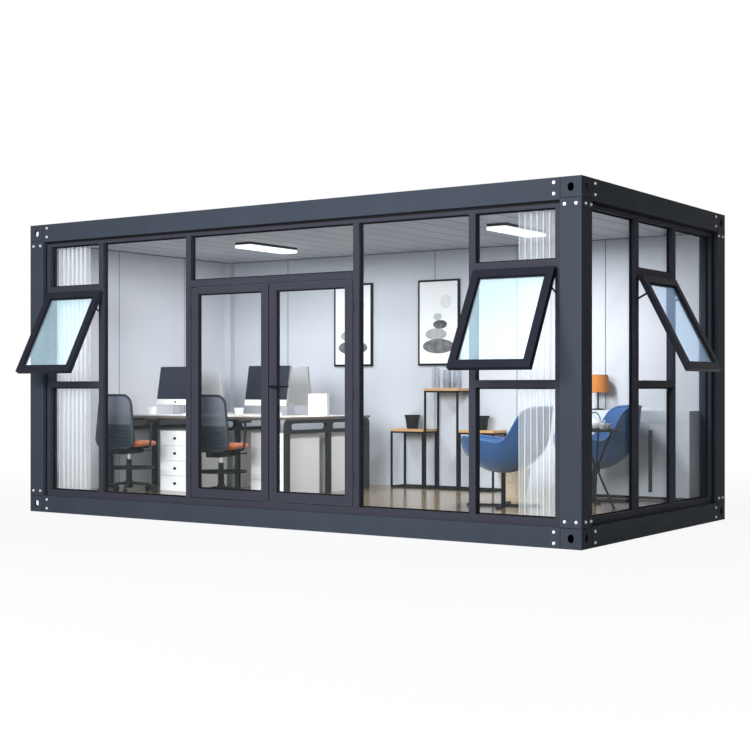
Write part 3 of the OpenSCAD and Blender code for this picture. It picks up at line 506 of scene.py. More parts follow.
@dataclass(frozen=True)
class BackMesh(Finish):
    """Stretched mesh of a chair back: darker towards its foot as painted shade, paler towards its top, and holes
    between the threads.
    """

    top_colour: Colour
    low: float = 0.75
    high: float = 1.1
    cover: float = 0.7
    pitch: float = 0.004
    thread: float = 0.0022

    def surface(self, shader: Shader) -> bpy.types.NodeSocket:
        """Threads of two directions with see-through holes."""
        where = shader.place()
        up = shader.part(where, Axis.Z)
        climb = {"Value": up, "From Min": self.low, "From Max": self.high}
        # The darker foot colour is painted shade; the mesh turns paler towards the top.
        tone = shader.blend(shader.node("ShaderNodeMapRange", climb).outputs["Result"], self.colour, self.top_colour)
        lines = [shader.line(way, self.pitch, self.thread) for way in (up, shader.part(where, Axis.X))]
        threads = shader.maths("MAXIMUM", *lines)
        ply = shader.principled(tone, self.roughness, shader.relief(threads, 0.0004))
        cover = shader.plus(shader.times(threads, 1 - self.cover), self.cover)
        return shader.mix(cover, shader.clear((0.95, 0.96, 0.97)), ply)


@dataclass(frozen=True)
class Stone(Finish):
    """Cast stone or earth: grains, pits and a rough relief."""

    grain: float = 60.0
    pits: float = 0.002
    contrast: float = 0.35

    def surface(self, shader: Shader) -> bpy.types.NodeSocket:
        """Colour and relief by grains of two sizes."""
        where = shader.place()
        coarse = shader.noise(where, self.grain, 8.0)
        cells = shader.node("ShaderNodeTexVoronoi", {"Vector": where, "Scale": self.grain * 1.6}).outputs["Distance"]
        height = shader.plus(coarse, shader.times(cells, 0.5))
        share = shader.spread(coarse, 0.0, 1.0)
        tone = shader.tones(share, self.colour, 1 - self.contrast, 1 + self.contrast)
        return shader.principled(tone, self.roughness, shader.relief(height, self.pits))


@dataclass(frozen=True)
class Glow(Finish):
    """A lit diffuser or shade: a pale face with its own light."""

    strength: float = 1.0
    rib: float = 300.0

    def surface(self, shader: Shader) -> bpy.types.NodeSocket:
        """Fine prisms or linen slubs over an even glow."""
        slub = shader.noise(shader.place((1.0, 1.0, 6.0)), self.rib, 3.0)
        tone = shader.tones(slub, self.colour, 0.9, 1.0)
        relief = shader.relief(shader.noise(shader.place(), self.rib, 2.0), 0.0002)
        own_light = {"Emission Color": tone, "Emission Strength": self.strength}
        return shader.principled(tone, self.roughness, relief, own_light)


@dataclass(frozen=True)
class Screen(Finish):
    """Dark glossy screen with a faint shift of tone across it."""

    upper: Colour

    def surface(self, shader: Shader) -> bpy.types.NodeSocket:
        """A slow gradient with a fine pixel relief."""
        where = shader.place()
        slope = shader.noise(shader.place((0.8, 0.8, 1.4)), 1.4, 1.0)
        return shader.principled(
            shader.blend(shader.spread(slope, 0.0, 1.0), self.colour, self.upper),
            self.rough(shader, shader.noise(where, 14.0, 4.0), 0.0, 0.07),
            shader.relief(shader.noise(where, 1500.0, 1.0), 0.00001),
            {"Specular IOR Level": 0.2},
        )


@dataclass(frozen=True)
class Print(Finish):
    """A plain generic print: a balanced pile of round pebbles under a pale disc."""

    base: float = 1.44
    middles: tuple[float, float] = (-1.12, -0.04)
    ink: Colour = (0.02, 0.021, 0.025)
    spots: tuple[tuple[float, float, float, float, float], ...] = (
        (0.09, 0.66, 0.07, 0.07, 0.16),
        (0.0, 0.2, 0.19, 0.075, 0.88),
        (-0.03, 0.325, 0.13, 0.06, 0.6),
        (0.02, 0.425, 0.085, 0.045, 0.95),
        (-0.01, 0.505, 0.05, 0.036, 0.45),
    )

    def surface(self, shader: Shader) -> bpy.types.NodeSocket:
        """Ovals in greys of their own, one on another, on grained paper."""
        where = shader.place()
        across, up = shader.part(where, Axis.X), shader.part(where, Axis.Z)
        first = shader.maths("LESS_THAN", across, sum(self.middles) / 2)
        step = shader.times(first, self.middles[1] - self.middles[0])
        across = shader.plus(shader.minus(across, self.middles[1]), step)
        grain = shader.noise(where, 500.0, 2.0)
        wash = shader.plus(shader.times(shader.noise(where, 16.0, 6.0), 0.5), 0.75)
        tone = shader.tones(grain, self.colour, 1.0, 0.94)
        for x, z, wide, high, dark in self.spots:
            right = shader.over(shader.minus(across, x), wide)
            above = shader.over(shader.minus(up, self.base + z), high)
            square = shader.plus(shader.times(right, right), shader.times(above, above))
            inside = shader.times(shader.maths("LESS_THAN", square, 1.0), dark)
            tone = shader.blend(shader.times(inside, wash), tone, self.ink)
        return shader.principled(tone, self.roughness, shader.relief(grain, 0.00006))


class Palette:
    """Every finish of the cabin."""

    steel = Paint("steel_paint_slate", srgb(58, 64, 74), 0.42, stain=0.08, edge=0.003, gloss=0.02)
    frame = Paint("frame_paint_graphite", srgb(56, 57, 66), 0.4, stain=0.06, gloss=0.02)
    sash = Paint("sash_paint_black", srgb(37, 39, 48), 0.38, stain=0.08, edge=0.002, gloss=0.02)
    zinc = Zinc("zinc_sheet", (0.55, 0.57, 0.6), 0.34)
    bolt = Paint("bolt_zinc", (0.72, 0.74, 0.76), 0.35, metallic=0.4, edge=0.0)
    clear = Glass("glass_clear", (0.97, 0.985, 0.99), 0.02, film=0.006)
    film = srgb(214, 238, 250)
    # The sash panes carry the painted sky reflection, brighter on the front than on the end.
    blue_glass = Glass("glass_blue", (0.93, 0.98, 1.0), 0.03, 0.1, film, painted_sky_front=(0.1, 0.14, 0.155))
    # Also the black of the painted frame shadows and of the painted shade lines at the castings.
    gasket = Paint("rubber_black", (0.006, 0.006, 0.007), 0.7, peel=0.0001, edge=0.0, gloss=0.1)
    panel = Boards("wall_panel_white", srgb(193, 197, 205), 0.5, 0.962, 0.009, Axis.X, 0.02, 0.3, start=-2.021)
    side_panel = Boards("wall_panel_side", srgb(210, 212, 219), 0.5, 1.01, 0.009, Axis.Y, 0.02, 0.3, start=-0.382)
    planks = Boards("ceiling_planks_grey", srgb(166, 169, 176), 0.45, 0.28, 0.02, contrast=0.07, joint_tone=0.3)
    tiles = Tiles("floor_tiles_beige", srgb(142, 121, 94), 0.16, vein=srgb(114, 95, 72))
    lamp_body = Paint("lamp_body_black", srgb(22, 23, 26), 0.5, gloss=0.2)
    lamp_glow = Glow("lamp_diffuser", (0.95, 0.96, 0.97), 0.5, strength=1.1, rib=260.0)
    white = Paint("lacquer_white", srgb(252, 252, 252), 0.32, coat=0.15, stain=0.03)
    grey_white = Paint("lacquer_grey_white", srgb(196, 202, 210), 0.36, coat=0.1, stain=0.04)
    black_metal = Paint("metal_black", srgb(13, 13, 15), 0.45, stain=0.1, gloss=0.06)
    desk_metal = Paint("desk_metal_green_grey", srgb(44, 50, 49), 0.42, stain=0.1, gloss=0.1)
    oak = Wood("oak_veneer", srgb(214, 178, 128), 0.42, srgb(168, 124, 76), srgb(196, 150, 98))
    desk_wood = Wood("desk_veneer", srgb(232, 226, 218), 0.35, srgb(190, 172, 152), srgb(58, 44, 38))
    silver = Paint("silver_plastic", srgb(204, 208, 214), 0.35, metallic=0.15, stain=0.03)
    back_plastic = Paint("monitor_back_grey", srgb(172, 174, 178), 0.45, stain=0.04)
    bezel = Paint("bezel_black", (0.01, 0.01, 0.012), 0.2, coat=0.4, edge=0.0)
    screen = Screen("screen_slate", srgb(35, 39, 48), 0.14, srgb(42, 48, 64))
    voile = Sheer("voile_white", (0.97, 0.975, 0.98), 0.8)
    orange = Cloth("cloth_orange", srgb(214, 112, 50), 0.78, sheen=0.3)
    blue = Cloth("felt_blue", srgb(42, 88, 142), 0.85, felt=0.8, sheen=0.35)
    # Its darker foot colour is painted shade.
    back_mesh = BackMesh("mesh_grey", srgb(46, 53, 56), 0.6, srgb(92, 96, 110), cover=0.72)
    plastic = Paint("plastic_black", srgb(28, 33, 34), 0.5, stain=0.1, peel=0.0001, peel_scale=1400.0, gloss=0.12)
    chair_frame = Paint("plastic_blue_grey", srgb(42, 50, 56), 0.45, stain=0.08, gloss=0.12)
    chrome = Paint("chrome", (0.75, 0.76, 0.78), 0.12, metallic=1.0, stain=0.03, edge=0.0)
    shade = Glow("shade_linen_amber", srgb(192, 112, 34), 0.8, strength=0.04, rib=420.0)
    glaze = Paint("glaze_white", srgb(240, 241, 242), 0.14, coat=0.5, stain=0.02, peel=0.00003, peel_scale=120.0)
    stone = Stone("cast_stone_beige", srgb(206, 192, 168), 0.85, grain=45.0, contrast=0.18)
    soil = Stone("earth_dark", srgb(66, 52, 42), 0.95, grain=90.0, pits=0.006)
    black_pot = Paint("pot_black", srgb(18, 18, 19), 0.55, peel=0.0002, peel_scale=300.0, gloss=0.15)
    paper = Print("print_pebbles", srgb(240, 242, 244), 0.7)
    vase = Glass("glass_vase", (0.94, 0.95, 0.96), 0.02, film=0.01, film_colour=(0.45, 0.47, 0.5))


# ---- Shapes ------------------------------------------------------------


def loft(rings: list[list[Point]], around: bool = True, caps: bool = False) -> bmesh.types.BMesh:
    """A skin over rings of points.

    Args:
        rings: the rings, each with the same number of points.
        around: whether each ring closes.
        caps: whether the first and last ring get a face.

    Returns:
        The shape with its doubles merged and its faces outwards.
    """
    shape = bmesh.new()
    rows = [[shape.verts.new(point) for point in ring] for ring in rings]
    for lower, upper in zip(rows, rows[1:]):
        count = len(lower)
        for here in range(count if around else count - 1):
            there = (here + 1) % count
            shape.faces.new((lower[here], lower[there], upper[there], upper[here]))
    if caps:
        shape.faces.new(rows[0][::-1])
        shape.faces.new(rows[-1])
    bmesh.ops.remove_doubles(shape, verts=shape.verts, dist=1e-6)
    bmesh.ops.recalc_face_normals(shape, faces=shape.faces)
    return shape


def block(low: Point, high: Point) -> bmesh.types.BMesh:
    """A box between its lowest and highest corner."""
    flat = [(low[0], low[1]), (high[0], low[1]), (high[0], high[1]), (low[0], high[1])]
    return loft([[(x, y, z) for x, y in flat] for z in (low[2], high[2])], caps=True)


def circle(centre: Point, radius: float, steps: int = 56) -> list[Point]:
    """Points on a level circle."""
    turns = (2 * math.pi * step / steps for step in range(steps))
    return [(centre[0] + radius * math.cos(a), centre[1] + radius * math.sin(a), centre[2]) for a in turns]


def lathe(profile: list[tuple[float, float]], centre: Point, steps: int = 40) -> bmesh.types.BMesh:
    """A turned shape.

    Args:
        profile: radius and height pairs along the outline.
        centre: the foot of its axis.
        steps: faces around.

    Returns:
        The shape.
    """
    return loft([circle((centre[0], centre[1], centre[2] + z), radius, steps) for radius, z in profile])


def pipe(path: list[Point], radius: float, steps: int = 12, closed: bool = False) -> bmesh.types.BMesh:
    """A round tube along a path.

    Args:
        path: points of its middle line.
        radius: radius of the tube.
        steps: faces around.
        closed: whether the path is a loop.

    Returns:
        The shape.
    """
    points = [Vector(point) for point in path]
    count = len(points)
    rings = []
    side = None
    for here, point in enumerate(points):
        before = points[here - 1] if here or closed else point
        after = points[(here + 1) % count] if here < count - 1 or closed else point
        way = (after - before).normalized()
        side = way.orthogonal() if side is None else side - way * side.dot(way)
        side.normalize()
        other = way.cross(side)
        turns = [2 * math.pi * step / steps for step in range(steps)]
        rings.append([tuple(point + radius * (math.cos(a) * side + math.sin(a) * other)) for a in turns])
    if closed:
        first = [Vector(p) for p in rings[0]]
        start = min(range(steps), key=lambda k: (Vector(rings[-1][0]) - first[k]).length)
        rings.append([tuple(first[(start + k) % steps]) for k in range(steps)])
    return loft(rings, caps=not closed)


def rounded(width: float, height: float, radius: float, steps: int = 6) -> list[tuple[float, float]]:
    """Outline of a rectangle with round corners, centred."""
    points = []
    for number, (sx, sy) in enumerate(((1, 1), (-1, 1), (-1, -1), (1, -1))):
        for step in range(steps + 1):
            angle = math.pi / 2 * (number + step / steps)
            x = sx * (width / 2 - radius) + radius * math.cos(angle)
            points.append((x, sy * (height / 2 - radius) + radius * math.sin(angle)))
    return points


def ring(
    corner: Vector, first: Vector, second: Vector, depth: Vector, width: float, proud: float
) -> bmesh.types.BMesh:
    """A four-sided band round the edge of a pane.

    Args:
        corner: one corner of the pane.
        first, second: its two long edges.
        depth: its thickness.
        width: width of the band.
        proud: how far it stands over both faces.

    Returns:
        The shape.
    """
    u, v, w = first.normalized(), second.normalized(), depth.normalized()
    middle = corner + depth / 2
    reach = depth.length / 2 + proud
    rings = []
    for a, b in ((0, 0), (1, 0), (1, 1), (0, 1), (0, 0)):
        outer = middle + first * a + second * b
        inner = outer + u * width * (1 - 2 * a) + v * width * (1 - 2 * b)
        rings.append([tuple(p) for p in (outer - w * reach, inner - w * reach, inner + w * reach, outer + w * reach)])
    return loft(rings)


def islands(node: str) -> list[list[Vector]]:
    """Corner points of each separate solid of a node.

    Args:
        node: the node's name.

    Returns:
        One sorted list of points for each solid, from left to right and front to back.
    """
    work = bmesh.new()
    work.from_mesh(frame["nodes"][node].data)
    bmesh.ops.remove_doubles(work, verts=work.verts, dist=1e-6)
    left = set(work.verts)
    groups = []
    while left:
        group, edge = [], [left.pop()]
        while edge:
            vertex = edge.pop()
            group.append(vertex.co.copy())
            for link in vertex.link_edges:
                other = link.other_vert(vertex)
                if other in left:
                    left.remove(other)
                    edge.append(other)
        groups.append(sorted(group, key=tuple))
    work.free()
    return sorted(groups, key=lambda g: (round(extent(g)[0].x, 3), round(extent(g)[0].y, 3), extent(g)[0].z))


def extent(points: list[Vector]) -> tuple[Vector, Vector]:
    """Lowest and highest corner of some points."""
    columns = list(zip(*points))
    return Vector([min(c) for c in columns]), Vector([max(c) for c in columns])


def pane_frame(points: list[Vector]) -> tuple[Vector, Vector, Vector, Vector]:
    """Corner, two long edges and thickness of a turned box.

    Args:
        points: its eight corners.

    Returns:
        The corner and the three edge vectors, the shortest last.
    """
    corner = points[0]
    edges = []
    for way in sorted((p - corner for p in points[1:]), key=lambda v: v.length):
        if all(abs(way.normalized().dot(e.normalized())) < 1e-3 for e in edges):
            edges.append(way)
    return corner, edges[1], edges[2], edges[0]


class Piece:
    """Gathers shapes of several finishes into one object."""

    def __init__(self, name: str, *finishes: Finish) -> None:
        """Starts an empty piece with its finishes in order."""
        self.name = name
        self.finishes = finishes
        self.work = bmesh.new()

    def add(self, shape: bmesh.types.BMesh, finish: int = 0, bevel: float = 0.0, turn: Matrix | None = None) -> None:
        """Adds a shape and frees it.

        Args:
            shape: the shape.
            finish: number of its finish.
            bevel: width of the round on its sharp edges.
            turn: where it is turned and moved to.
        """
        if bevel:
            sharp = [e for e in shape.edges if e.is_manifold and e.calc_face_angle() > 0.6]
            bmesh.ops.bevel(shape, geom=sharp, offset=bevel, segments=2, profile=0.5, affect="EDGES")
        if turn is not None:
            bmesh.ops.transform(shape, matrix=turn, verts=shape.verts)
        for face in shape.faces:
            face.material_index = finish
        mesh = bpy.data.meshes.new("shape")
        shape.to_mesh(mesh)
        shape.free()
        self.work.from_mesh(mesh)
        bpy.data.meshes.remove(mesh)

    def place(self, body: str, slot: str, *replaced: str, smooth: float = 35.0) -> bpy.types.Object:
        """Makes the object and lets it ride.

        Args:
            body: the body that it rides on.
            slot: material slot of the record that it belongs to.
            replaced: nodes that it stands for.
            smooth: angle in degrees under which edges are shaded smooth.

        Returns:
            The object.
        """
        mesh = bpy.data.meshes.new(self.name)
        self.work.to_mesh(mesh)
        self.work.free()
        for finish in self.finishes:
            mesh.materials.append(finish.material())
        return settle(bpy.data.objects.new(self.name, mesh), body, slot, *replaced, smooth=smooth)


def settle(piece: bpy.types.Object, body: str, slot: str, *replaced: str, smooth: float = 35.0) -> bpy.types.Object:
    """Shades a finished piece, puts it in the scene and lets it ride.

    Args:
        piece: the object.
        body: the body that it rides on.
        slot: its material slot.
        replaced: nodes that it stands for.
        smooth: angle in degrees under which edges are shaded smooth.

    Returns:
        The same object.
    """
    mesh = piece.data
    mesh.polygons.foreach_set("use_smooth", [True] * len(mesh.polygons))
    mesh.set_sharp_from_angle(angle=math.radians(smooth))
    if piece.name not in bpy.context.scene.collection.objects:
        bpy.context.scene.collection.objects.link(piece)
    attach(piece, body)
    if replaced:
        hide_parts(*replaced)
    LOG.info("%s: %d faces on %s", piece.name, len(mesh.polygons), body)
    return piece


def flatten(piece: bpy.types.Object) -> None:
    """Turns the evaluated piece into its plain mesh and drops its modifiers."""
    bpy.context.view_layer.update()
    graph = bpy.context.evaluated_depsgraph_get()
    mesh = bpy.data.meshes.new_from_object(piece.evaluated_get(graph), depsgraph=graph)
    piece.modifiers.clear()
    piece.data = mesh


def swell(piece: bpy.types.Object, voxel: float, cap: float) -> None:
    """Swells a closed pad by cloth simulation and leaves a plain mesh.

    Args:
        piece: the pad, in the scene.
        voxel: size of the new mesh's faces in metres.
        cap: how far a point may move in metres.
    """
    remesh = piece.modifiers.new("even", "REMESH")
    remesh.mode = "VOXEL"
    remesh.voxel_size = voxel
    flatten(piece)
    rest = [v.co.copy() for v in piece.data.vertices]
    cloth = piece.modifiers.new("swell", "CLOTH")
    cloth.settings.quality = 6
    cloth.settings.mass = 0.2
    cloth.settings.tension_stiffness = 12.0
    cloth.settings.compression_stiffness = 12.0
    cloth.settings.bending_stiffness = 0.4
    cloth.settings.use_pressure = True
    cloth.settings.uniform_pressure_force = 4.0
    cloth.settings.effector_weights.gravity = 0.0
    for number in range(1, 21):
        bpy.context.scene.frame_set(number)
    graph = bpy.context.evaluated_depsgraph_get()
    moved = [v.co.copy() for v in piece.evaluated_get(graph).data.vertices]
    piece.modifiers.clear()
    for vertex, start, end in zip(piece.data.vertices, rest, moved):
        step = end - start
        vertex.co = start + step * min(1.0, cap / max(step.length, 1e-9))
    bpy.context.scene.frame_set(1)
    LOG.info("%s swollen: %d points", piece.name, len(rest))


# ---- Geometry Nodes ----------------------------------------------------


class Recipe(Nodes):
    """A Geometry Nodes tree with named inputs that is run once into a plain mesh."""

    def __init__(self, name: str, sizes: dict[str, float | int]) -> None:
        """Starts the tree.

        Args:
            name: the tree's name.
            sizes: its inputs and their values.
        """
        super().__init__(bpy.data.node_groups.new(name, "GeometryNodeTree"))
        self.sizes = sizes
        face = self.tree.interface
        face.new_socket("Points", in_out="INPUT", socket_type="NodeSocketGeometry")
        for key, value in sizes.items():
            kind = "NodeSocketInt" if isinstance(value, int) else "NodeSocketFloat"
            face.new_socket(key, in_out="INPUT", socket_type=kind)
        face.new_socket("Finish", in_out="INPUT", socket_type="NodeSocketMaterial")
        face.new_socket("Result", in_out="OUTPUT", socket_type="NodeSocketGeometry")
        self.given = self.node("NodeGroupInput").outputs

    def join(self, *parts: bpy.types.NodeSocket) -> bpy.types.NodeSocket:
        """All parts in one geometry."""
        joined = self.node("GeometryNodeJoinGeometry")
        for part in parts:
            self.tree.links.new(part, joined.inputs[0])
        return joined.outputs[0]

    def grid(self, width: object, depth: object, columns: object, rows: object) -> bpy.types.NodeSocket:
        """A flat grid from its two sizes and its points along each."""
        inputs = {"Size X": width, "Size Y": depth, "Vertices X": columns, "Vertices Y": rows}
        return self.node("GeometryNodeMeshGrid", inputs).outputs[0]

    def drum(self, sides: object, radius: object, depth: object, middle: object) -> bpy.types.NodeSocket:
        """A cylinder with its middle at a height."""
        made = self.node("GeometryNodeMeshCylinder", {"Vertices": sides, "Radius": radius, "Depth": depth})
        place = {"Geometry": made.outputs[0], "Translation": self.triple(z=middle)}
        return self.node("GeometryNodeTransform", place).outputs[0]

    def spread_on_points(self, part: bpy.types.NodeSocket) -> bpy.types.NodeSocket:
        """One instance on each point, its Z turned to the point's facing."""
        facing = self.node("GeometryNodeInputNamedAttribute", {"Name": "facing"}, data_type="FLOAT_VECTOR")
        turn = self.node("FunctionNodeAlignRotationToVector", {"Vector": facing.outputs[0]}, axis="Z")
        inputs = {"Points": self.given["Points"], "Instance": part, "Rotation": turn.outputs[0]}
        return self.node("GeometryNodeInstanceOnPoints", inputs).outputs[0]

    def end(self, part: bpy.types.NodeSocket) -> None:
        """Closes the tree with the part on each point, Realize Instances and Set Material."""
        real = self.node("GeometryNodeRealizeInstances", {"Geometry": self.spread_on_points(part)}).outputs[0]
        dressed = self.node("GeometryNodeSetMaterial", {"Geometry": real, "Material": self.given["Finish"]})
        self.node("NodeGroupOutput", {0: dressed.outputs[0]})

    def run(self, name: str, points: list[tuple[Point, Point]], finish: Finish) -> bpy.types.Object:
        """Runs the tree on points.

        Args:
            name: name of the new object.
            points: place and facing of each.
            finish: finish of the result.

        Returns:
            The object with a plain mesh, not yet riding.
        """
        mesh = bpy.data.meshes.new(name)
        mesh.from_pydata([place for place, _ in points], [], [])
        facing = mesh.attributes.new("facing", "FLOAT_VECTOR", "POINT")
        facing.data.foreach_set("vector", [value for _, way in points for value in way])
        made = bpy.data.objects.new(name, mesh)
        bpy.context.scene.collection.objects.link(made)
        modifier = made.modifiers.new("recipe", "NODES")
        modifier.node_group = self.tree
        values = {**self.sizes, "Finish": finish.material()}
        for item in self.tree.interface.items_tree:
            if item.in_out == "INPUT" and item.name in values:
                modifier[item.identifier] = values[item.name]
        flatten(made)
        while len(made.data.materials) > 1 and made.data.materials[0] is None:
            made.data.materials.pop(index=0)
        return made


class Fasteners(Recipe):
    """Heads on washers, such as bolts, knobs and caps, set square on their points."""

    def __init__(self, name: str, sides: int, head: float, height: float, washer: float) -> None:
        """Builds the tree from the head's sides, radius and height and the washer's radius."""
        sizes = {"Sides": sides, "Head radius": head, "Head height": height, "Washer radius": washer}
        super().__init__(name, {**sizes, "Washer height": 0.0016})
        given = self.given
        side_count, radius, tall, thick = (
            given[key] for key in ("Sides", "Head radius", "Head height", "Washer height")
        )
        plate = self.drum(24, given["Washer radius"], thick, self.times(thick, 0.5))
        head_part = self.drum(side_count, radius, tall, self.plus(thick, self.times(tall, 0.5)))
        crown_middle = self.plus(thick, self.times(tall, 1.1))
        crown = self.drum(side_count, self.times(radius, 0.82), self.times(tall, 0.3), crown_middle)
        self.end(self.join(plate, head_part, crown))


class Keys(Recipe):
    """A block of keys in rows, one block on each point."""

    def __init__(self, columns: int, rows: int, pitch: float) -> None:
        """Builds the tree from the number of columns and rows and their pitch."""
        super().__init__("keys", {"Columns": columns, "Rows": rows, "Pitch": pitch, "Key height": 0.003})
        pitch_in, counts = self.given["Pitch"], (self.given["Columns"], self.given["Rows"])
        grid = self.grid(*(self.times(pitch_in, self.minus(count, 1.0)) for count in counts), *counts)
        side = self.times(pitch_in, 0.84)
        key = self.node("GeometryNodeMeshCube", {"Size": self.triple(side, side, self.given["Key height"])})
        self.end(self.node("GeometryNodeInstanceOnPoints", {"Points": grid, "Instance": key.outputs[0]}).outputs[0])


class Pleats(Recipe):
    """A hanging cloth in narrow pleats that drift a little towards its hem."""

    def __init__(self, width: float, height: float, pleats: int, depth: float, seed: int) -> None:
        """Builds the tree from the drawn width, the height, the pleats and their depth."""
        super().__init__("pleats", {"Width": width, "Height": height, "Pleats": pleats, "Depth": depth, "Seed": seed})
        given = self.given
        columns = self.plus(self.times(given["Pleats"], 14.0), 1.0)
        grid = self.grid(given["Width"], given["Height"], columns, 44)
        where = self.node("GeometryNodeInputPosition").outputs[0]
        across, up = self.node("ShaderNodeSeparateXYZ", {"Vector": where}).outputs[:2]
        fall = self.minus(0.5, self.over(up, given["Height"]))
        patch = self.triple(self.times(across, 9.0), self.times(up, 0.7), given["Seed"])
        slow = self.node("ShaderNodeTexNoise", {"Vector": patch, "Scale": 1.0, "Detail": 2.0}).outputs[0]
        drift = self.times(self.minus(slow, 0.5), self.plus(self.times(fall, 1.4), 0.8))
        turns = self.over(self.times(across, given["Pleats"]), given["Width"])
        phase = self.plus(self.times(turns, 6.28319), drift)
        reach = self.times(given["Depth"], self.plus(0.34, self.times(slow, 0.2)))
        folded = self.triple(across, self.times(self.maths("SINE", phase), reach), up)
        self.end(self.node("GeometryNodeSetPosition", {"Geometry": grid, "Position": folded}).outputs[0])


# ---- Sub-assemblies ----------------------------------------------------

CORNERS = tuple(product((-1, 1), (-1, 1)))


@dataclass(frozen=True)
class Lamp:
    """A soft rectangular lamp: its place, the point it faces, its two sides in metres and its power in watts."""

    name: str
    place: Point
    aim: Point
    size: tuple[float, float]
    power: float

    def hang(self) -> None:
        """Puts the lamp into the scene, unseen by the camera."""
        data = bpy.data.lights.new(self.name, "AREA")
        data.shape = "RECTANGLE"
        data.size, data.size_y = self.size
        data.energy = self.power
        made = bpy.data.objects.new(self.name, data)
        made.location = self.place
        made.rotation_euler = (Vector(self.aim) - Vector(self.place)).to_track_quat("-Z", "Y").to_euler()
        made.visible_camera = False
        bpy.context.scene.collection.objects.link(made)


@dataclass
class Studio:
    """Camera, lamps, world and floor; none of them is part of the cabin."""

    azimuth: float = 34.144
    place: Point = (7.60029, -11.06458, 1.21968)
    lens: float = 67.686
    shift: float = 0.01576
    sky: Colour = (0.86, 0.93, 1.0)
    sky_strength: float = 0.09
    lamps_outside: tuple[Lamp, ...] = (
        Lamp("key", (1.5, -10.0, 3.6), (0.0, 0.0, 1.1), (6.0, 3.0), 1330.0),
        Lamp("rear", (-8.0, 8.5, 4.5), (-0.5, 0.0, 1.2), (5.0, 4.0), 620.0),
    )
    ceiling_size: tuple[float, float] = (0.17, 0.7)
    ceiling_powers: tuple[float, float] = (34.0, 56.0)
    floor_half: float = 60.0
    floor_colour: Colour = (0.36, 0.37, 0.4)
    floor_white: tuple[tuple[float, float], ...] = ((3.0, 0.92), (9.0, 1.0))

    def camera(self) -> None:
        """A level camera at the cabin's front right corner."""
        data = bpy.data.cameras.new("camera")
        data.lens = self.lens
        data.sensor_width = 36.0
        data.shift_y = self.shift
        made = bpy.data.objects.new("camera", data)
        made.location = self.place
        made.rotation_euler = (math.pi / 2, 0.0, math.radians(self.azimuth))
        bpy.context.scene.collection.objects.link(made)
        bpy.context.scene.camera = made

    def world(self) -> None:
        """An even pale sky that the camera, mirrors and glass see as plain white."""
        world = bpy.data.worlds.new("world")
        world.use_nodes = True
        air = Nodes(world.node_tree)
        pale = air.node("ShaderNodeBackground", {"Color": with_alpha(self.sky), "Strength": self.sky_strength})
        white = air.node("ShaderNodeBackground", {"Color": (1.0, 1.0, 1.0, 1.0)})
        air.node("ShaderNodeOutputWorld", {"Surface": air.mix(air.seen(), pale.outputs[0], white.outputs[0])})
        bpy.context.scene.world = world

    def lamps(self) -> None:
        """A key lamp over the front, a soft one behind the closed walls and two under the ceiling."""
        for lamp in self.lamps_outside:
            lamp.hang()
        for number, points in enumerate(islands("ceiling_lights")):
            low, high = extent(points)
            middle = (low + high) / 2
            place = (middle.x, middle.y, low.z - 0.02)
            power = self.ceiling_powers[0 if middle.x < 0 else 1]
            Lamp(f"ceiling_{number}", place, (middle.x, middle.y, 0.0), self.ceiling_size, power).hang()

    def floor(self) -> None:
        """A plain pale floor that reads as white and keeps the shadow."""
        made = bpy.data.objects.new("studio_floor", bpy.data.meshes.new("studio_floor"))
        ends = (-self.floor_half, self.floor_half)
        shape = loft([[(x, y, -0.0005) for x in ends] for y in ends], around=False)
        bmesh.ops.reverse_faces(shape, faces=[f for f in shape.faces if f.normal.z < 0])
        shape.to_mesh(made.data)
        shape.free()
        shader = Shader("studio_floor")
        matt = shader.node("ShaderNodeBsdfDiffuse", {"Color": with_alpha(self.floor_colour)}).outputs[0]
        glow = shader.node("ShaderNodeEmission", {"Color": (1.0, 1.0, 1.0, 1.0), "Strength": 1.0}).outputs[0]
        reach = shader.node("ShaderNodeVectorMath", {0: shader.place()}, operation="LENGTH").outputs["Value"]
        (near, least), (far, most) = self.floor_white
        away = shader.node("ShaderNodeMapRange", {0: reach, 1: near, 2: far, 3: least, 4: most}).outputs["Result"]
        shader.show(shader.mix(shader.times(shader.seen(), away), matt, glow))
        made.data.materials.append(shader.material)
        bpy.context.scene.collection.objects.link(made)


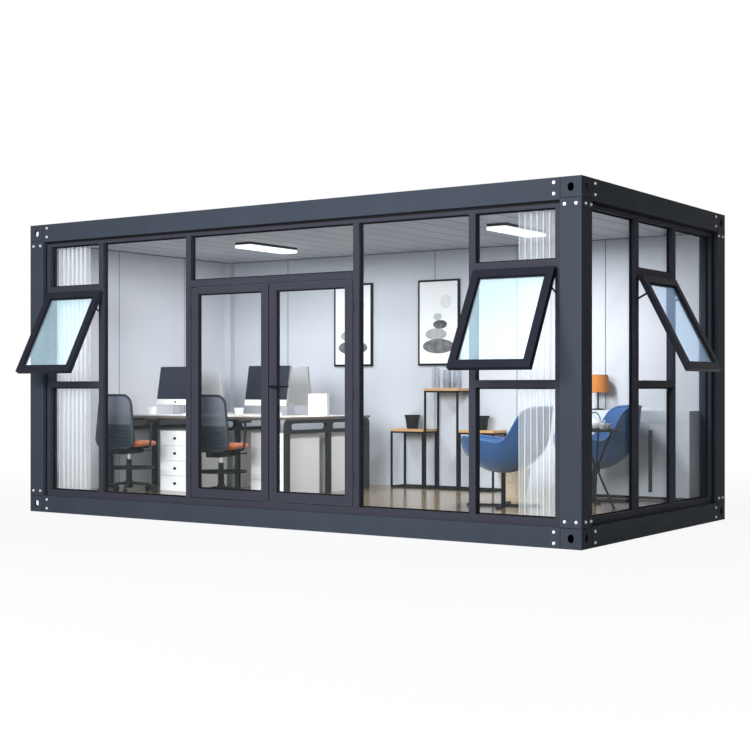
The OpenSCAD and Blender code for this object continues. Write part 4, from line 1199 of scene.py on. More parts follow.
@dataclass
class Structure:
    """The steel frame, floor, roof and walls: finishes, bolts, strips of painted shadow along the window frames, and
    the castings' joints in painted shade.
    """

    bolt_radius: float = 0.0098
    bolt_height: float = 0.007
    washer_radius: float = 0.0124
    gap: float = 0.02
    shade_line_width: float = 0.0045
    shade_line_proud: float = 0.0007
    ray_start: tuple[float, float] = (3.4, 2.0)
    beam_bolts: tuple[float, float] = (2.744, 1.268)
    beam_bolt_rows: tuple[float, ...] = (2.763, 2.678, 0.123, 0.038)
    post_bolts: tuple[tuple[float, float], ...] = ((2.834, 2.93), (1.343, 1.434))
    post_bolt_rows: tuple[float, ...] = (2.595, 0.205)
    finishes: dict[Finish, tuple[str, ...]] = field(
        default_factory=lambda: {
            Palette.steel: ("base_beams", "roof_beams", "corner_posts", "base_castings", "roof_castings"),
            Palette.zinc: ("floor_joists", "roof_purlins", "roof_deck"),
            Palette.tiles: ("floor_deck",),
            Palette.planks: ("ceiling",),
            Palette.panel: ("back_wall_panels", "corner_liner"),
            Palette.side_panel: ("left_wall_panels",),
            Palette.frame: (
                "front_rails", "front_mullions", "end_rails", "end_mullions", "door_leaf_left",
                "door_leaf_right", "door_frame_hinges", "door_hinges_left", "door_hinges_right",
            ),
            Palette.sash: ("sash_frames",),
            Palette.clear: ("front_panes", "end_panes", "door_pane_left", "door_pane_right"),
            Palette.blue_glass: ("sash_panes",),
            Palette.lamp_body: ("ceiling_lights",),
            Palette.white: ("curtain_rails", "pedestals"),
            Palette.grey_white: ("planter_cabinet",),
            Palette.desk_wood: ("desk_tops",),
            Palette.desk_metal: ("desk_frames",),
            Palette.back_plastic: ("monitors",),
            Palette.glaze: ("desk_planters",),
            Palette.black_metal: (
                "console_frames", "pictures", "lounge_bases", "side_table", "door_lever", "sash_stays",
            ),
            Palette.oak: ("console_tops",),
            Palette.stone: ("floor_pot",),
        }
    )

    def dress(self) -> None:
        """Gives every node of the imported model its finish."""
        for finish, nodes in self.finishes.items():
            for node in nodes:
                slots = frame["nodes"][node].data.materials
                if not slots:
                    slots.append(finish.material())
                for number in range(len(slots)):
                    slots[number] = finish.material()

    def bolt_points(self) -> list[tuple[Point, Point]]:
        """Places of the frame's bolts, found on the steel by rays from outside."""
        skin = bmesh.new()
        for node in ("base_beams", "roof_beams", "corner_posts"):
            skin.from_mesh(frame["nodes"][node].data)
        tree = BVHTree.FromBMesh(skin)
        skin.free()
        (far_x, far_y), (beam_x, beam_y) = self.ray_start, self.beam_bolts
        rays = []
        for sx, sy in CORNERS:
            for z in self.beam_bolt_rows:
                rays.append(((sx * beam_x, sy * far_y, z), (0, sy, 0)))
                rays.append(((sx * far_x, sy * beam_y, z), (sx, 0, 0)))
            for z in self.post_bolt_rows:
                rays.extend(((sx * x, sy * far_y, z), (0, sy, 0)) for x in self.post_bolts[0])
                rays.extend(((sx * far_x, sy * y, z), (sx, 0, 0)) for y in self.post_bolts[1])
        found = []
        for start, way in rays:
            hit = tree.ray_cast(Vector(start), -Vector(way), 1.0)[0]
            if hit is not None:
                found.append((tuple(hit), tuple(float(v) for v in way)))
        return found

    def bolts(self) -> None:
        """Hexagon heads on washers beside every casting."""
        recipe = Fasteners("bolt_heads", 6, self.bolt_radius, self.bolt_height, self.washer_radius)
        settle(recipe.run("frame_bolts", self.bolt_points(), Palette.bolt), "cabin", "galvanised", smooth=20.0)

    def paint_frame_shadows(self) -> None:
        """Black strips that paint the shadow between the steel frame and the window frames, along the head and both
        posts.
        """
        shadow_strip = Piece("painted_frame_shadows", Palette.gasket)
        upright = self.gap * 0.7
        for node, along, out in (("front_rails", 0, -1), ("end_rails", 1, 1)):
            low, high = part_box(node)
            face = low.y if out < 0 else high.x
            near, far = sorted((face - out * 0.012, face + out * 0.004))
            start, end, under = low[along], high[along], high.z - self.gap
            strips = (
                (start, end, under, high.z),
                (start, start + upright, low.z, under),
                (end - upright, end, low.z, under),
            )
            for first, last, bottom, top in strips:
                corners = [[first, near, bottom], [last, far, top]]
                if along:
                    corners = [[b, a, c] for a, b, c in corners]
                shadow_strip.add(block(*corners), bevel=0.001)
        shadow_strip.place("cabin", "sash_paint")

    def casting_shade_lines(self) -> None:
        """Thin black strips on the joints between the castings and the beams and posts on the four outer sides; the
        joints are real, their black is painted shade of the bevels.
        """
        shade_lines = Piece("casting_shade_lines", Palette.gasket)
        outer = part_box("corner_posts")[1]
        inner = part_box("front_rails")[1].x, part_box("end_rails")[1].y
        top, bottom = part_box("roof_castings"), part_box("base_castings")
        wide = self.shade_line_width
        for (sx, sy), side in product(CORNERS, (0, 1)):
            start, end = sorted(abs(v) for v in (inner[side], outer[side]))
            face = outer[1 - side]
            lines = [(start, end, z, z + wide) for z in (top[0].z, bottom[1].z - wide)]
            lines += [(start, start + wide, c[0].z + 0.002, c[1].z - 0.002) for c in (top, bottom)]
            for first, last, low_z, high_z in lines:
                reach, depth = (first, last), (face - 0.001, face + self.shade_line_proud)
                xs, ys = (depth, reach) if side else (reach, depth)
                xs, ys = sorted(sx * x for x in xs), sorted(sy * y for y in ys)
                shade_lines.add(block((xs[0], ys[0], low_z), (xs[1], ys[1], high_z)))
        shade_lines.place("cabin", "sash_paint")


@dataclass
class Glazing:
    """Black rubber round every pane, and the handles of the outward sashes."""

    width: float = 0.011
    proud: float = 0.004
    groups: dict[str, tuple[str, str]] = field(
        default_factory=lambda: {
            "front_gaskets": ("front_panes", "cabin"),
            "end_gaskets": ("end_panes", "cabin"),
            "sash_gaskets": ("sash_panes", "cabin"),
            "door_gasket_left": ("door_pane_left", "door_left"),
            "door_gasket_right": ("door_pane_right", "door_right"),
        }
    )
    handle: tuple[tuple[Point, Point, float], ...] = (
        ((-0.055, -0.014, 0.02), (0.055, 0.014, 0.03), 0.003),
        ((-0.012, -0.012, 0.028), (0.012, 0.012, 0.052), 0.004),
        ((-0.012, -0.012, 0.046), (0.1, 0.012, 0.058), 0.005),
    )

    def gaskets(self) -> None:
        """A mitred rubber band on both faces of each pane."""
        for name, (node, body) in self.groups.items():
            piece = Piece(name, Palette.gasket)
            for points in islands(node):
                piece.add(ring(*pane_frame(points), self.width, self.proud), bevel=0.0015)
            piece.place(body, "sash_paint", smooth=50.0)

    def sash_handles(self) -> None:
        """A cranked handle inside the foot of each sash: plate, neck and grip."""
        piece = Piece("sash_handles", Palette.sash)
        for points in islands("sash_panes"):
            _, first, second, _ = pane_frame(points)
            low, high = extent(points)
            across, fall = (first, second) if abs(first.z) < 1e-3 else (second, first)
            across = across.normalized()
            inward = Vector((-1, 0, 0)) if abs(across.y) > 0.5 else Vector((0, 1, 0))
            down = fall.normalized() * (-1 if fall.z > 0 else 1)
            if across.cross(down).dot(inward) < 0:
                across = -across
            grid = Matrix((across, down, across.cross(down))).transposed().to_4x4()
            grid.translation = (low + high) / 2 + down * (fall.length / 2 + 0.03)
            for corner, opposite, bevel in self.handle:
                piece.add(block(corner, opposite), bevel=bevel, turn=grid)
        piece.place("cabin", "sash_paint")


@dataclass
class Lighting:
    """The diffusers of the two ceiling lights."""

    lit: float = 0.028

    def diffusers(self) -> None:
        """A lit prismatic trough round the lower half of each light."""
        plates = Piece("light_diffusers", Palette.lamp_glow)
        for points in islands("ceiling_lights"):
            low, high = extent(points)
            corner = (low.x - 0.001, low.y - 0.001, low.z - 0.002)
            plates.add(block(corner, (high.x + 0.001, high.y + 0.001, low.z + self.lit)), bevel=0.002)
        plates.place("cabin", "light_body")


@dataclass
class Curtains:
    """Two gathered curtains of thin voile on their rails."""

    pleats: int = 7
    curtains: tuple[tuple[str, int, float], ...] = (("left", 3, 0.0), ("right", 8, 0.032))

    def hang(self) -> None:
        for side, seed, trim in self.curtains:
            low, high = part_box(f"curtain_{side}")
            low.x += trim
            width, height = high.x - low.x, high.z - low.z
            recipe = Pleats(width - 0.006, height, self.pleats, high.y - low.y - 0.004, seed)
            place = tuple((low + high) / 2)
            voile = recipe.run(f"voile_{side}", [(place, (0.0, 0.0, 1.0))], Palette.voile)
            self.stand_up(voile, low, high)
            settle(voile, "cabin", "sheer_cloth", f"curtain_{side}", smooth=180.0)

    def stand_up(self, voile: bpy.types.Object, low: Vector, high: Vector) -> None:
        """Fits the pleated grid upright into the curtain's room.

        Args:
            voile: the pleated cloth.
            low, high: corners of the room.
        """
        first, last = extent([v.co for v in voile.data.vertices])
        room = [(low.x + 0.003, high.x - 0.003), (low.y + 0.001, high.y - 0.001), (low.z, high.z)]
        for vertex in voile.data.vertices:
            for axis in range(3):
                share = (vertex.co[axis] - first[axis]) / max(last[axis] - first[axis], 1e-9)
                vertex.co[axis] = room[axis][0] + share * (room[axis][1] - room[axis][0])


@dataclass
class Desk:
    """Screens, keyboards, drawer knobs and the earth in the planters on the desk."""

    foot_ahead: float = 0.082
    lift: float = 0.1
    tilt: float = math.radians(10)
    face: float = -0.024
    tall: float = 0.399
    chin: float = 0.06
    knob: float = 0.011
    keyboard: Point = (0.42, 0.125, 0.0066)
    keyboard_ahead: float = 0.1
    mouse_aside: float = 0.3
    drawers: int = 4
    cube_half: tuple[float, float] = (0.087, 0.072)
    cube_turn: float = math.radians(28)

    def side(self, points: list[Vector]) -> tuple[float, float, float]:
        """How a thing on the desks stands.

        Args:
            points: its points.

        Returns:
            Its middle across, the place of the face that looks away from the other row, and the way of that face.
        """
        low, high = extent(points)
        front = low.y < -0.1
        return (low.x + high.x) / 2, low.y if front else high.y, -1.0 if front else 1.0

    def screens(self) -> None:
        """A black bezel, a dark screen and a white chin with a small round knob on each tilted monitor."""
        faces = Piece("monitor_screens", Palette.bezel, Palette.screen, Palette.white)
        plates = (
            (0.0, 0.002, self.chin, self.tall),
            (0.008, 0.0026, self.chin, self.tall),
            (0.0, 0.0015, 0.001, self.chin - 0.001),
        )
        mark = [(0.0, 0.0), (self.knob, 0.0), (self.knob, 0.0032), (0.0, 0.0032)]
        spot = Matrix.Translation((0.0, self.face, self.chin / 2)) @ Matrix.Rotation(math.pi / 2, 4, "X")
        for points in islands("monitors"):
            low, high = extent(points)
            middle, face, way = self.side(points)
            half = (high.x - low.x) / 2 - 0.001
            turn = Matrix.Translation((middle, face - way * self.foot_ahead, low.z + self.lift))
            turn = turn @ Matrix.Rotation(0.0 if way < 0 else math.pi, 4, "Z") @ Matrix.Rotation(-self.tilt, 4, "X")
            for finish, (inset, out, start, end) in enumerate(plates):
                corner = (inset - half, self.face - out, start + inset)
                faces.add(block(corner, (half - inset, self.face + 0.002, end - inset)), finish, 0.0008, turn)
            faces.add(lathe(mark, (0, 0, 0), 24), 0, turn=turn @ spot)
        faces.place("cabin", "screen")

    def keyboards(self) -> None:
        """A low tray with its keys and a mouse before each screen."""
        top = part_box("desk_tops")[1].z
        width, depth, height = self.keyboard
        trays = Piece("keyboards", Palette.silver, Palette.glaze)
        mouse = [(0.0, 0.0), (0.03, 0.0), (0.031, 0.008), (0.024, 0.022), (0.012, 0.028), (0.0, 0.029)]
        points = []
        for group in islands("monitors"):
            x, y, way = self.side(group)
            y += way * self.keyboard_ahead
            tray = block((x - width / 2, y - depth / 2, top), (x + width / 2, y + depth / 2, top + height))
            trays.add(tray, 0, 0.003)
            points.append(((x, y, top + height + 0.0015), (0.0, 0.0, 1.0)))
            turn = Matrix.Translation((x - way * self.mouse_aside, y, top)) @ Matrix.Diagonal((0.95, 1.7, 1.0, 1.0))
            trays.add(lathe(mouse, (0, 0, 0), 28), 1, turn=turn)
        trays.place("cabin", "white_lacquer")
        settle(Keys(22, 6, 0.0185).run("keyboard_keys", points, Palette.white), "cabin", "white_lacquer")

    def knobs(self) -> None:
        """A round dark knob on every drawer."""
        points = []
        for group in islands("pedestals"):
            low, high = extent(group)
            middle, face, way = self.side(group)
            step = (high.z - low.z) / self.drawers
            points.extend(((middle, face, low.z + step * (n + 0.5)), (0.0, way, 0.0)) for n in range(self.drawers))
        recipe = Fasteners("knobs", 24, 0.0125, 0.016, 0.007)
        settle(recipe.run("drawer_knobs", points, Palette.black_metal), "cabin", "black_metal", smooth=30.0)

    def earth(self) -> None:
        """Crumbly earth in the cube and the two small pots."""
        piece = Piece("desk_earth", Palette.soil)
        for group in islands("desk_planters"):
            low, high = extent(group)
            square = high.z - low.z > 0.15
            reach = (high.x - low.x) / 2 - 0.007
            middle = (low + high) / 2
            turn = Matrix.Translation((middle.x, middle.y, high.z - 0.0098))
            turn = turn @ Matrix.Rotation(self.cube_turn if square else 0.0, 4, "Z")
            halves = self.cube_half if square else (reach, reach)
            piece.add(heap((0.0, 0.0, 0.0), *halves, square, 0.004), turn=turn)
        piece.place("cabin", "stone_pot")


def heap(centre: Point, half_x: float, half_y: float, square: bool, height: float) -> bmesh.types.BMesh:
    """A low heap of earth with a lumpy top.

    Args:
        centre: middle of its foot.
        half_x, half_y: half its length and depth.
        square: whether its outline is square, else round.
        height: height of its middle.

    Returns:
        The shape.
    """
    steps, count = 48, 8
    rings = [[centre] * steps]
    for number in range(count, -1, -1):
        share = number / count
        line = []
        for step in range(steps):
            angle = 2 * math.pi * step / steps
            x, y = math.cos(angle), math.sin(angle)
            if square:
                reach = 1 / max(abs(x), abs(y))
                x, y = x * reach, y * reach
            x, y = centre[0] + x * share * half_x, centre[1] + y * share * half_y
            lump = 0.35 * math.sin(x * 190 + 3 * math.sin(y * 130)) * math.sin(y * 170 + 2 * math.sin(x * 90))
            lift = height * (1 - share**6) * (1 + lump) if number < count else 0.0
            line.append((x, y, centre[2] + 0.001 + lift))
        rings.append(line)
    rings.append([(centre[0], centre[1], rings[-1][0][2])] * steps)
    return loft(rings)


def cushion(name: str, shape: bmesh.types.BMesh, turn: Matrix, finish: Finish, cap: float) -> bpy.types.Object:
    """A pad, swollen by cloth simulation and smoothed once.

    Args:
        name: its name.
        shape: its shape before it swells, which is freed.
        turn: where it is turned and moved to.
        finish: its finish.
        cap: how far a point may move in metres.

    Returns:
        The object, not yet riding.
    """
    bmesh.ops.transform(shape, matrix=turn, verts=shape.verts)
    mesh = bpy.data.meshes.new(name)
    shape.to_mesh(mesh)
    shape.free()
    mesh.materials.append(finish.material())
    pad = bpy.data.objects.new(name, mesh)
    bpy.context.scene.collection.objects.link(pad)
    swell(pad, 0.006, cap)
    smooth = pad.modifiers.new("smooth", "SUBSURF")
    smooth.levels = smooth.render_levels = 1
    return pad


def curve(points: list[Point], steps: int) -> list[Point]:
    """A smooth line through points, with some steps between each two."""
    known = [Vector(p) for p in points]
    last = len(known) - 1
    line = []
    for here in range(last):
        before, start, end, after = (known[max(0, min(last, here + k))] for k in (-1, 0, 1, 2))
        slope, bend = end - before, 2 * before - 5 * start + 4 * end - after
        twist = 3 * start - before - 3 * end + after
        for step in range(steps):
            t = step / steps
            line.append(tuple(0.5 * (2 * start + slope * t + bend * t * t + twist * t**3)))
    line.append(tuple(known[-1]))
    return line


@dataclass
class OfficeChair:
    """One desk chair: a swollen seat pad, a mesh back in its frame and thin armrests."""

    side: str
    turn: float = math.radians(13.0)
    seat_width: float = 0.46
    seat_depth: float = 0.44
    back_width: float = 0.45
    back_height: float = 0.535
    back_set: float = 0.284
    pad_inset: float = 0.006
    tube: float = 0.012

    @property
    def body(self) -> str:
        """The body that the upper part turns with."""
        return f"chair_{self.side}"

    def axis(self) -> tuple[float, float, float]:
        """Place of the swivel axis on the floor."""
        low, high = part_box(f"chair_seat_{self.side}")
        return (low.x + high.x) / 2, (low.y + high.y) / 2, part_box("floor_deck")[1].z

    def spin(self) -> Matrix:
        """Turns what is drawn square to the desk about the swivel axis."""
        axis = Matrix.Translation(self.axis())
        return axis @ Matrix.Rotation(self.turn, 4, "Z") @ axis.inverted()

    def seat(self) -> None:
        """The orange pad: a rounded shape with a waterfall front, swollen by cloth simulation."""
        low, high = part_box(f"chair_seat_{self.side}")
        middle = (low + high) / 2
        width, depth = self.seat_width - 2 * self.pad_inset, self.seat_depth - 2 * self.pad_inset
        rings = []
        for z, shrink in ((0.0, 0.03), (0.004, 0.012), (0.014, 0.002), (0.028, 0.0), (0.04, 0.006), (0.046, 0.022)):
            line = []
            for x, y in rounded(width - 2 * shrink, depth - 2 * shrink, 0.075, 10):
                drop = 0.012 * max(0.0, (y - depth * 0.22) / (depth * 0.28)) ** 2 if z > 0.02 else 0.0
                line.append((middle.x + x, middle.y + y, low.z + 0.002 + z - drop))
            rings.append(line)
        edge, crown = rings[-1], low.z + 0.05
        for share in (0.7, 0.35, 0.0):
            line = []
            for x, y, z in edge:
                x, y = middle.x + (x - middle.x) * share, middle.y + (y - middle.y) * share
                line.append((x, y, z * share + crown * (1 - share)))
            rings.append(line)
        rings.insert(0, [(middle.x, middle.y, rings[0][0][2])] * len(rings[0]))
        pad = cushion(f"seat_pad_{self.side}", loft(rings), self.spin(), Palette.orange, 0.008)
        settle(pad, self.body, "orange_cloth", f"chair_seat_{self.side}", smooth=180.0)

    def back_outline(self) -> list[tuple[float, float]]:
        """Middle line of the backrest's tube: widest below its middle, drawn in to the top."""
        points = []
        width, height = self.back_width - 2 * self.tube, self.back_height - 2 * self.tube
        for x, z in rounded(width, height, 0.085, 10):
            share = z / height + 0.5
            above, below = max(0.0, share - 0.4) / 0.6, max(0.0, 0.4 - share) / 0.4
            points.append((x * (1.0 - 0.26 * above**1.2 - 0.07 * below**2), z))
        return points

    def back_depth(self, x: float, z: float) -> float:
        """How far the backrest lies behind its foremost plane at a point."""
        wave = 0.008 * math.cos(math.pi * (z / self.back_height + 0.1) * 1.6)
        return 0.004 + 0.018 * (1 - (2 * x / self.back_width) ** 2) + wave

    def back(self) -> None:
        """Frame loop, stretched mesh and lumbar shell with ribs, then what carries them and the armrests."""
        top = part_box(f"chair_back_{self.side}")[1].z
        cx, cy, _ = self.axis()
        rear, height = cy - self.back_set, self.back_height
        middle_z = top - height / 2 - 0.005
        piece = Piece(f"back_frame_{self.side}", Palette.chair_frame, Palette.back_mesh, Palette.plastic)
        spin = self.spin()
        outline = self.back_outline()

        def at(x: float, z: float, out: float = 0.0) -> Point:
            """A point of the backrest's middle surface."""
            return (cx + x, rear + 0.036 - self.back_depth(x, z) - out, middle_z + z)

        def row(z: float, count: int, out: float, share: float = 1.0, sag: float = 0.0) -> list[Point]:
            """Points across the backrest at a height."""
            reach = self.reach(outline, z) * share
            turns = [k / count for k in range(count + 1)]
            return [at((t - 0.5) * 2 * reach, z + sag * math.sin(math.pi * t), out) for t in turns]

        piece.add(pipe([at(x, z) for x, z in outline], self.tube, 12, closed=True), 0, turn=spin)
        inside, steps = height - 2 * self.tube, 24
        mesh_rows = [row((step / steps - 0.5) * inside, 16, 0.001) for step in range(steps + 1)]
        piece.add(loft(mesh_rows, around=False), 1, turn=spin)
        for number in range(5):
            rib = row(-height * 0.42 + number * 0.034, 10, 0.008, 0.86 - 0.05 * number, 0.01)
            piece.add(pipe(rib, 0.007, 10), 2, turn=spin)
        lumbar = [row(-height / 2 + 0.022 + number * 0.02, 12, 0.005, 0.9) for number in range(12)]
        piece.add(loft(lumbar, around=False), 0, turn=spin)
        self.mechanism(piece, rear, middle_z)
        self.armrests(piece)
        piece.place(self.body, "mesh_back", f"chair_back_{self.side}", smooth=50.0)

    def mechanism(self, piece: Piece, rear: float, middle_z: float) -> None:
        """Adds the spine, the box under the seat, its knob and its lever.

        Args:
            piece: the piece that gathers the back.
            rear: place of the backrest along Y.
            middle_z: height of its middle.
        """
        cx, cy, _ = self.axis()
        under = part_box(f"chair_seat_{self.side}")[0].z
        spin = self.spin()
        spine = [(cx, rear + 0.016, middle_z - 0.02), (cx, rear + 0.014, middle_z - 0.16), (cx, cy - 0.238, under)]
        spine += [(cx, cy - 0.2, under - 0.055), (cx, cy - 0.1, under - 0.06)]
        piece.add(pipe(curve(spine, 6), 0.016, 12), 0, turn=spin)
        for half, front, back, low, high, bevel in (
            (0.075, 0.17, 0.13, -0.075, -0.012, 0.012),
            (0.13, 0.15, 0.15, -0.012, 0.001, 0.004),
        ):
            box = block((cx - half, cy - front, under + low), (cx + half, cy + back, under + high))
            piece.add(box, 2, bevel, spin)
        knob = [(0.0, 0.0), (0.02, 0.0), (0.024, 0.006), (0.024, 0.024), (0.02, 0.03), (0.0, 0.03)]
        side_on = Matrix.Translation((cx + 0.075, cy + 0.09, under - 0.042)) @ Matrix.Rotation(math.pi / 2, 4, "Y")
        piece.add(lathe(knob, (0, 0, 0), 28), 2, turn=spin @ side_on)
        lever = [(0.07, 0.05, -0.045), (0.19, 0.06, -0.045), (0.235, 0.065, -0.04)]
        lever = [(cx + x, cy + y, under + z) for x, y, z in lever]
        piece.add(pipe(curve(lever, 4), 0.006, 10), 2, turn=spin)

    def armrests(self, piece: Piece) -> None:
        """Adds a thin tube and a pad on each side.

        Args:
            piece: the piece that gathers the back.
        """
        cx, cy, _ = self.axis()
        low, high = (corner.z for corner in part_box(f"chair_seat_{self.side}"))
        spin = self.spin()
        for way in (-1, 1):
            arm = [
                (cx + way * 0.1, cy - 0.03, low - 0.008),
                (cx + way * 0.225, cy - 0.03, low - 0.006),
                (cx + way * 0.252, cy - 0.025, low + 0.03),
                (cx + way * 0.256, cy - 0.01, high + 0.12),
                (cx + way * 0.25, cy, high + 0.19),
            ]
            piece.add(pipe(curve(arm, 5), 0.011, 12), 2, turn=spin)
            rings = [
                [(cx + way * 0.248 + x * s, cy + y * s, high + 0.185 + z) for x, y in rounded(0.062, 0.2, 0.028)]
                for z, s in ((0.0, 0.82), (0.006, 0.97), (0.016, 1.0), (0.024, 0.94), (0.027, 0.78))
            ]
            piece.add(loft(rings, caps=True), 2, turn=spin)

    def reach(self, outline: list[tuple[float, float]], z: float) -> float:
        """Half the outline's width at a height.

        Args:
            outline: points of the outline.
            z: the height.

        Returns:
            The half width.
        """
        best = 0.0
        for (x0, z0), (x1, z1) in zip(outline, outline[1:] + outline[:1]):
            if (z0 - z) * (z1 - z) <= 0 and abs(z1 - z0) > 1e-9:
                best = max(best, abs(x0 + (x1 - x0) * (z - z0) / (z1 - z0)))
        return best or min(abs(x) for x, _ in outline if abs(x) > 0.05)


@dataclass
class ChairBases:
    """The two star bases with gas columns, foot rings and twin castors."""

    reach: float = 0.272
    arms: int = 5
    castor: float = 0.027
    ring_radius: float = 0.24
    ring_height: float = 0.247

    def build(self, chairs: list[OfficeChair]) -> None:
        """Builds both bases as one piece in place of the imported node.

        Args:
            chairs: the chairs that stand on them.
        """
        piece = Piece("chair_star_bases", Palette.plastic, Palette.chrome)
        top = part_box("chair_bases")[1].z
        for chair in chairs:
            cx, cy, floor = chair.axis()
            column = [(0.0, 0.05), (0.034, 0.05), (0.04, 0.062), (0.042, 0.1), (0.036, 0.125), (0.029, 0.13)]
            column += [(0.029, 0.235), (0.034, 0.236), (0.034, 0.262), (0.026, 0.264), (0.025, 0.33), (0.0, 0.33)]
            piece.add(lathe(column, (cx, cy, floor)), 0)
            rod = [(0.0, 0.32), (0.0145, 0.32), (0.0145, top - floor - 0.001), (0.0, top - floor - 0.001)]
            piece.add(lathe(rod, (cx, cy, floor), 28), 1)
            hub = Vector((cx, cy, floor + self.ring_height))
            piece.add(pipe(circle(tuple(hub), self.ring_radius), 0.0085, 12, closed=True), 0)
            for number in range(4):
                angle = math.pi / 4 + number * math.pi / 2
                way = Vector((math.cos(angle), math.sin(angle), 0.0))
                piece.add(pipe([tuple(hub + way * 0.03), tuple(hub + way * self.ring_radius)], 0.006, 10), 0)
            for number in range(self.arms):
                angle = math.radians(360 / self.arms * number + 18)
                self.arm(piece, Matrix.Translation((cx, cy, floor)) @ Matrix.Rotation(angle, 4, "Z"))
        piece.place("cabin", "black_plastic", "chair_bases", smooth=40.0)

    def arm(self, piece: Piece, turn: Matrix) -> None:
        """Adds one tapered arm with its twin castor.

        Args:
            piece: the piece that gathers the base.
            turn: place and direction of the arm.
        """
        rings = []
        for share in (0.0, 0.25, 0.5, 0.75, 0.92, 1.0):
            blunt = 0.6 if share == 1.0 else 1.0
            half, deep = (0.021 - 0.008 * share) * blunt, (0.03 - 0.014 * share) * blunt
            x, z = 0.02 + share * (self.reach + 0.005), 0.096 - 0.028 * share**1.3
            rings.append([(x, a, z + b) for a, b in rounded(2 * half, deep, deep * 0.4, 3)])
        piece.add(loft(rings, caps=True), 0, turn=turn)
        stem = [(0.0, 0.04), (0.007, 0.04), (0.007, 0.07), (0.0, 0.07)]
        piece.add(lathe(stem, (self.reach, 0, 0), 14), 0, turn=turn)
        turns = [math.pi * (0.05 + 0.9 * k / 8) for k in range(9)]
        hood = [(self.reach + 0.03 * math.cos(a), 0.0, 0.029 + 0.027 * math.sin(a)) for a in turns]
        piece.add(pipe(hood, 0.006, 8), 0, turn=turn)
        wheel = [(0.0, 0.0), (0.021, 0.0), (0.0265, 0.003), (self.castor, 0.008), (0.0265, 0.015), (0.0, 0.0165)]
        for way in (-1, 1):
            tilt = Matrix.Translation((self.reach, way * 0.004, self.castor))
            tilt = tilt @ Matrix.Rotation(-way * math.pi / 2, 4, "X")
            piece.add(lathe(wheel, (0, 0, 0), 26), 0, turn=turn @ tilt)


@dataclass
class BackWall:
    """Prints in the frames on the wall, and pots and vases on the console tables."""

    mat: float = 0.022
    vase_places: tuple[Point, ...] = ((0.062, 0.13, 1.1), (0.18, 0.16, 1.0), (0.325, 0.12, 1.08))

    def prints(self) -> None:
        """A plain generic print on the face of each frame."""
        piece = Piece("wall_prints", Palette.paper, Palette.black_metal)
        for points in islands("pictures"):
            low, high = extent(points)
            inner_low = (low.x + self.mat, low.y - 0.0012, low.z + self.mat)
            piece.add(block(inner_low, (high.x - self.mat, low.y + 0.002, high.z - self.mat)), 0)
            corner = Vector((low.x + 0.003, low.y - 0.003, low.z + 0.003))
            sides = Vector((high.x - low.x - 0.006, 0, 0)), Vector((0, 0, high.z - low.z - 0.006))
            piece.add(ring(corner, *sides, Vector((0, 0.006, 0)), 0.018, 0.0), 1, 0.0015)
        piece.place("cabin", "picture")

    def pots(self) -> None:
        """A tapered black pot with earth on each low table."""
        piece = Piece("console_pots", Palette.black_pot, Palette.soil)
        outline = [(0.0, 0.0), (0.056, 0.0), (0.059, 0.004), (0.075, 0.12), (0.082, 0.122)]
        outline += [(0.083, 0.144), (0.076, 0.144), (0.073, 0.127), (0.07, 0.114), (0.0, 0.114)]
        for group in islands("console_tops")[::2]:
            low, high = extent(group)
            centre = ((low.x + high.x) / 2 - 0.015, (low.y + high.y) / 2, high.z)
            piece.add(lathe(outline, centre, 44), 0)
            piece.add(heap((centre[0], centre[1], centre[2] + 0.115), 0.068, 0.068, False, 0.008), 1)
        piece.place("cabin", "black_plastic")

    def vases(self) -> None:
        """Three slim glass vases on the high table."""
        low, high = extent(islands("console_tops")[1])
        piece = Piece("console_vases", Palette.vase)
        wall = [(0.0, 0.0), (0.042, 0.0), (0.046, 0.006), (0.047, 0.05), (0.043, 0.12), (0.041, 0.19)]
        wall += [(0.0385, 0.19), (0.0405, 0.12), (0.0435, 0.05), (0.041, 0.012), (0.0, 0.01)]
        for x, y, scale in self.vase_places:
            piece.add(lathe([(r, z * scale) for r, z in wall], (low.x + x, low.y + y, high.z), 36))
        piece.place("cabin", "clear_glass", smooth=60.0)


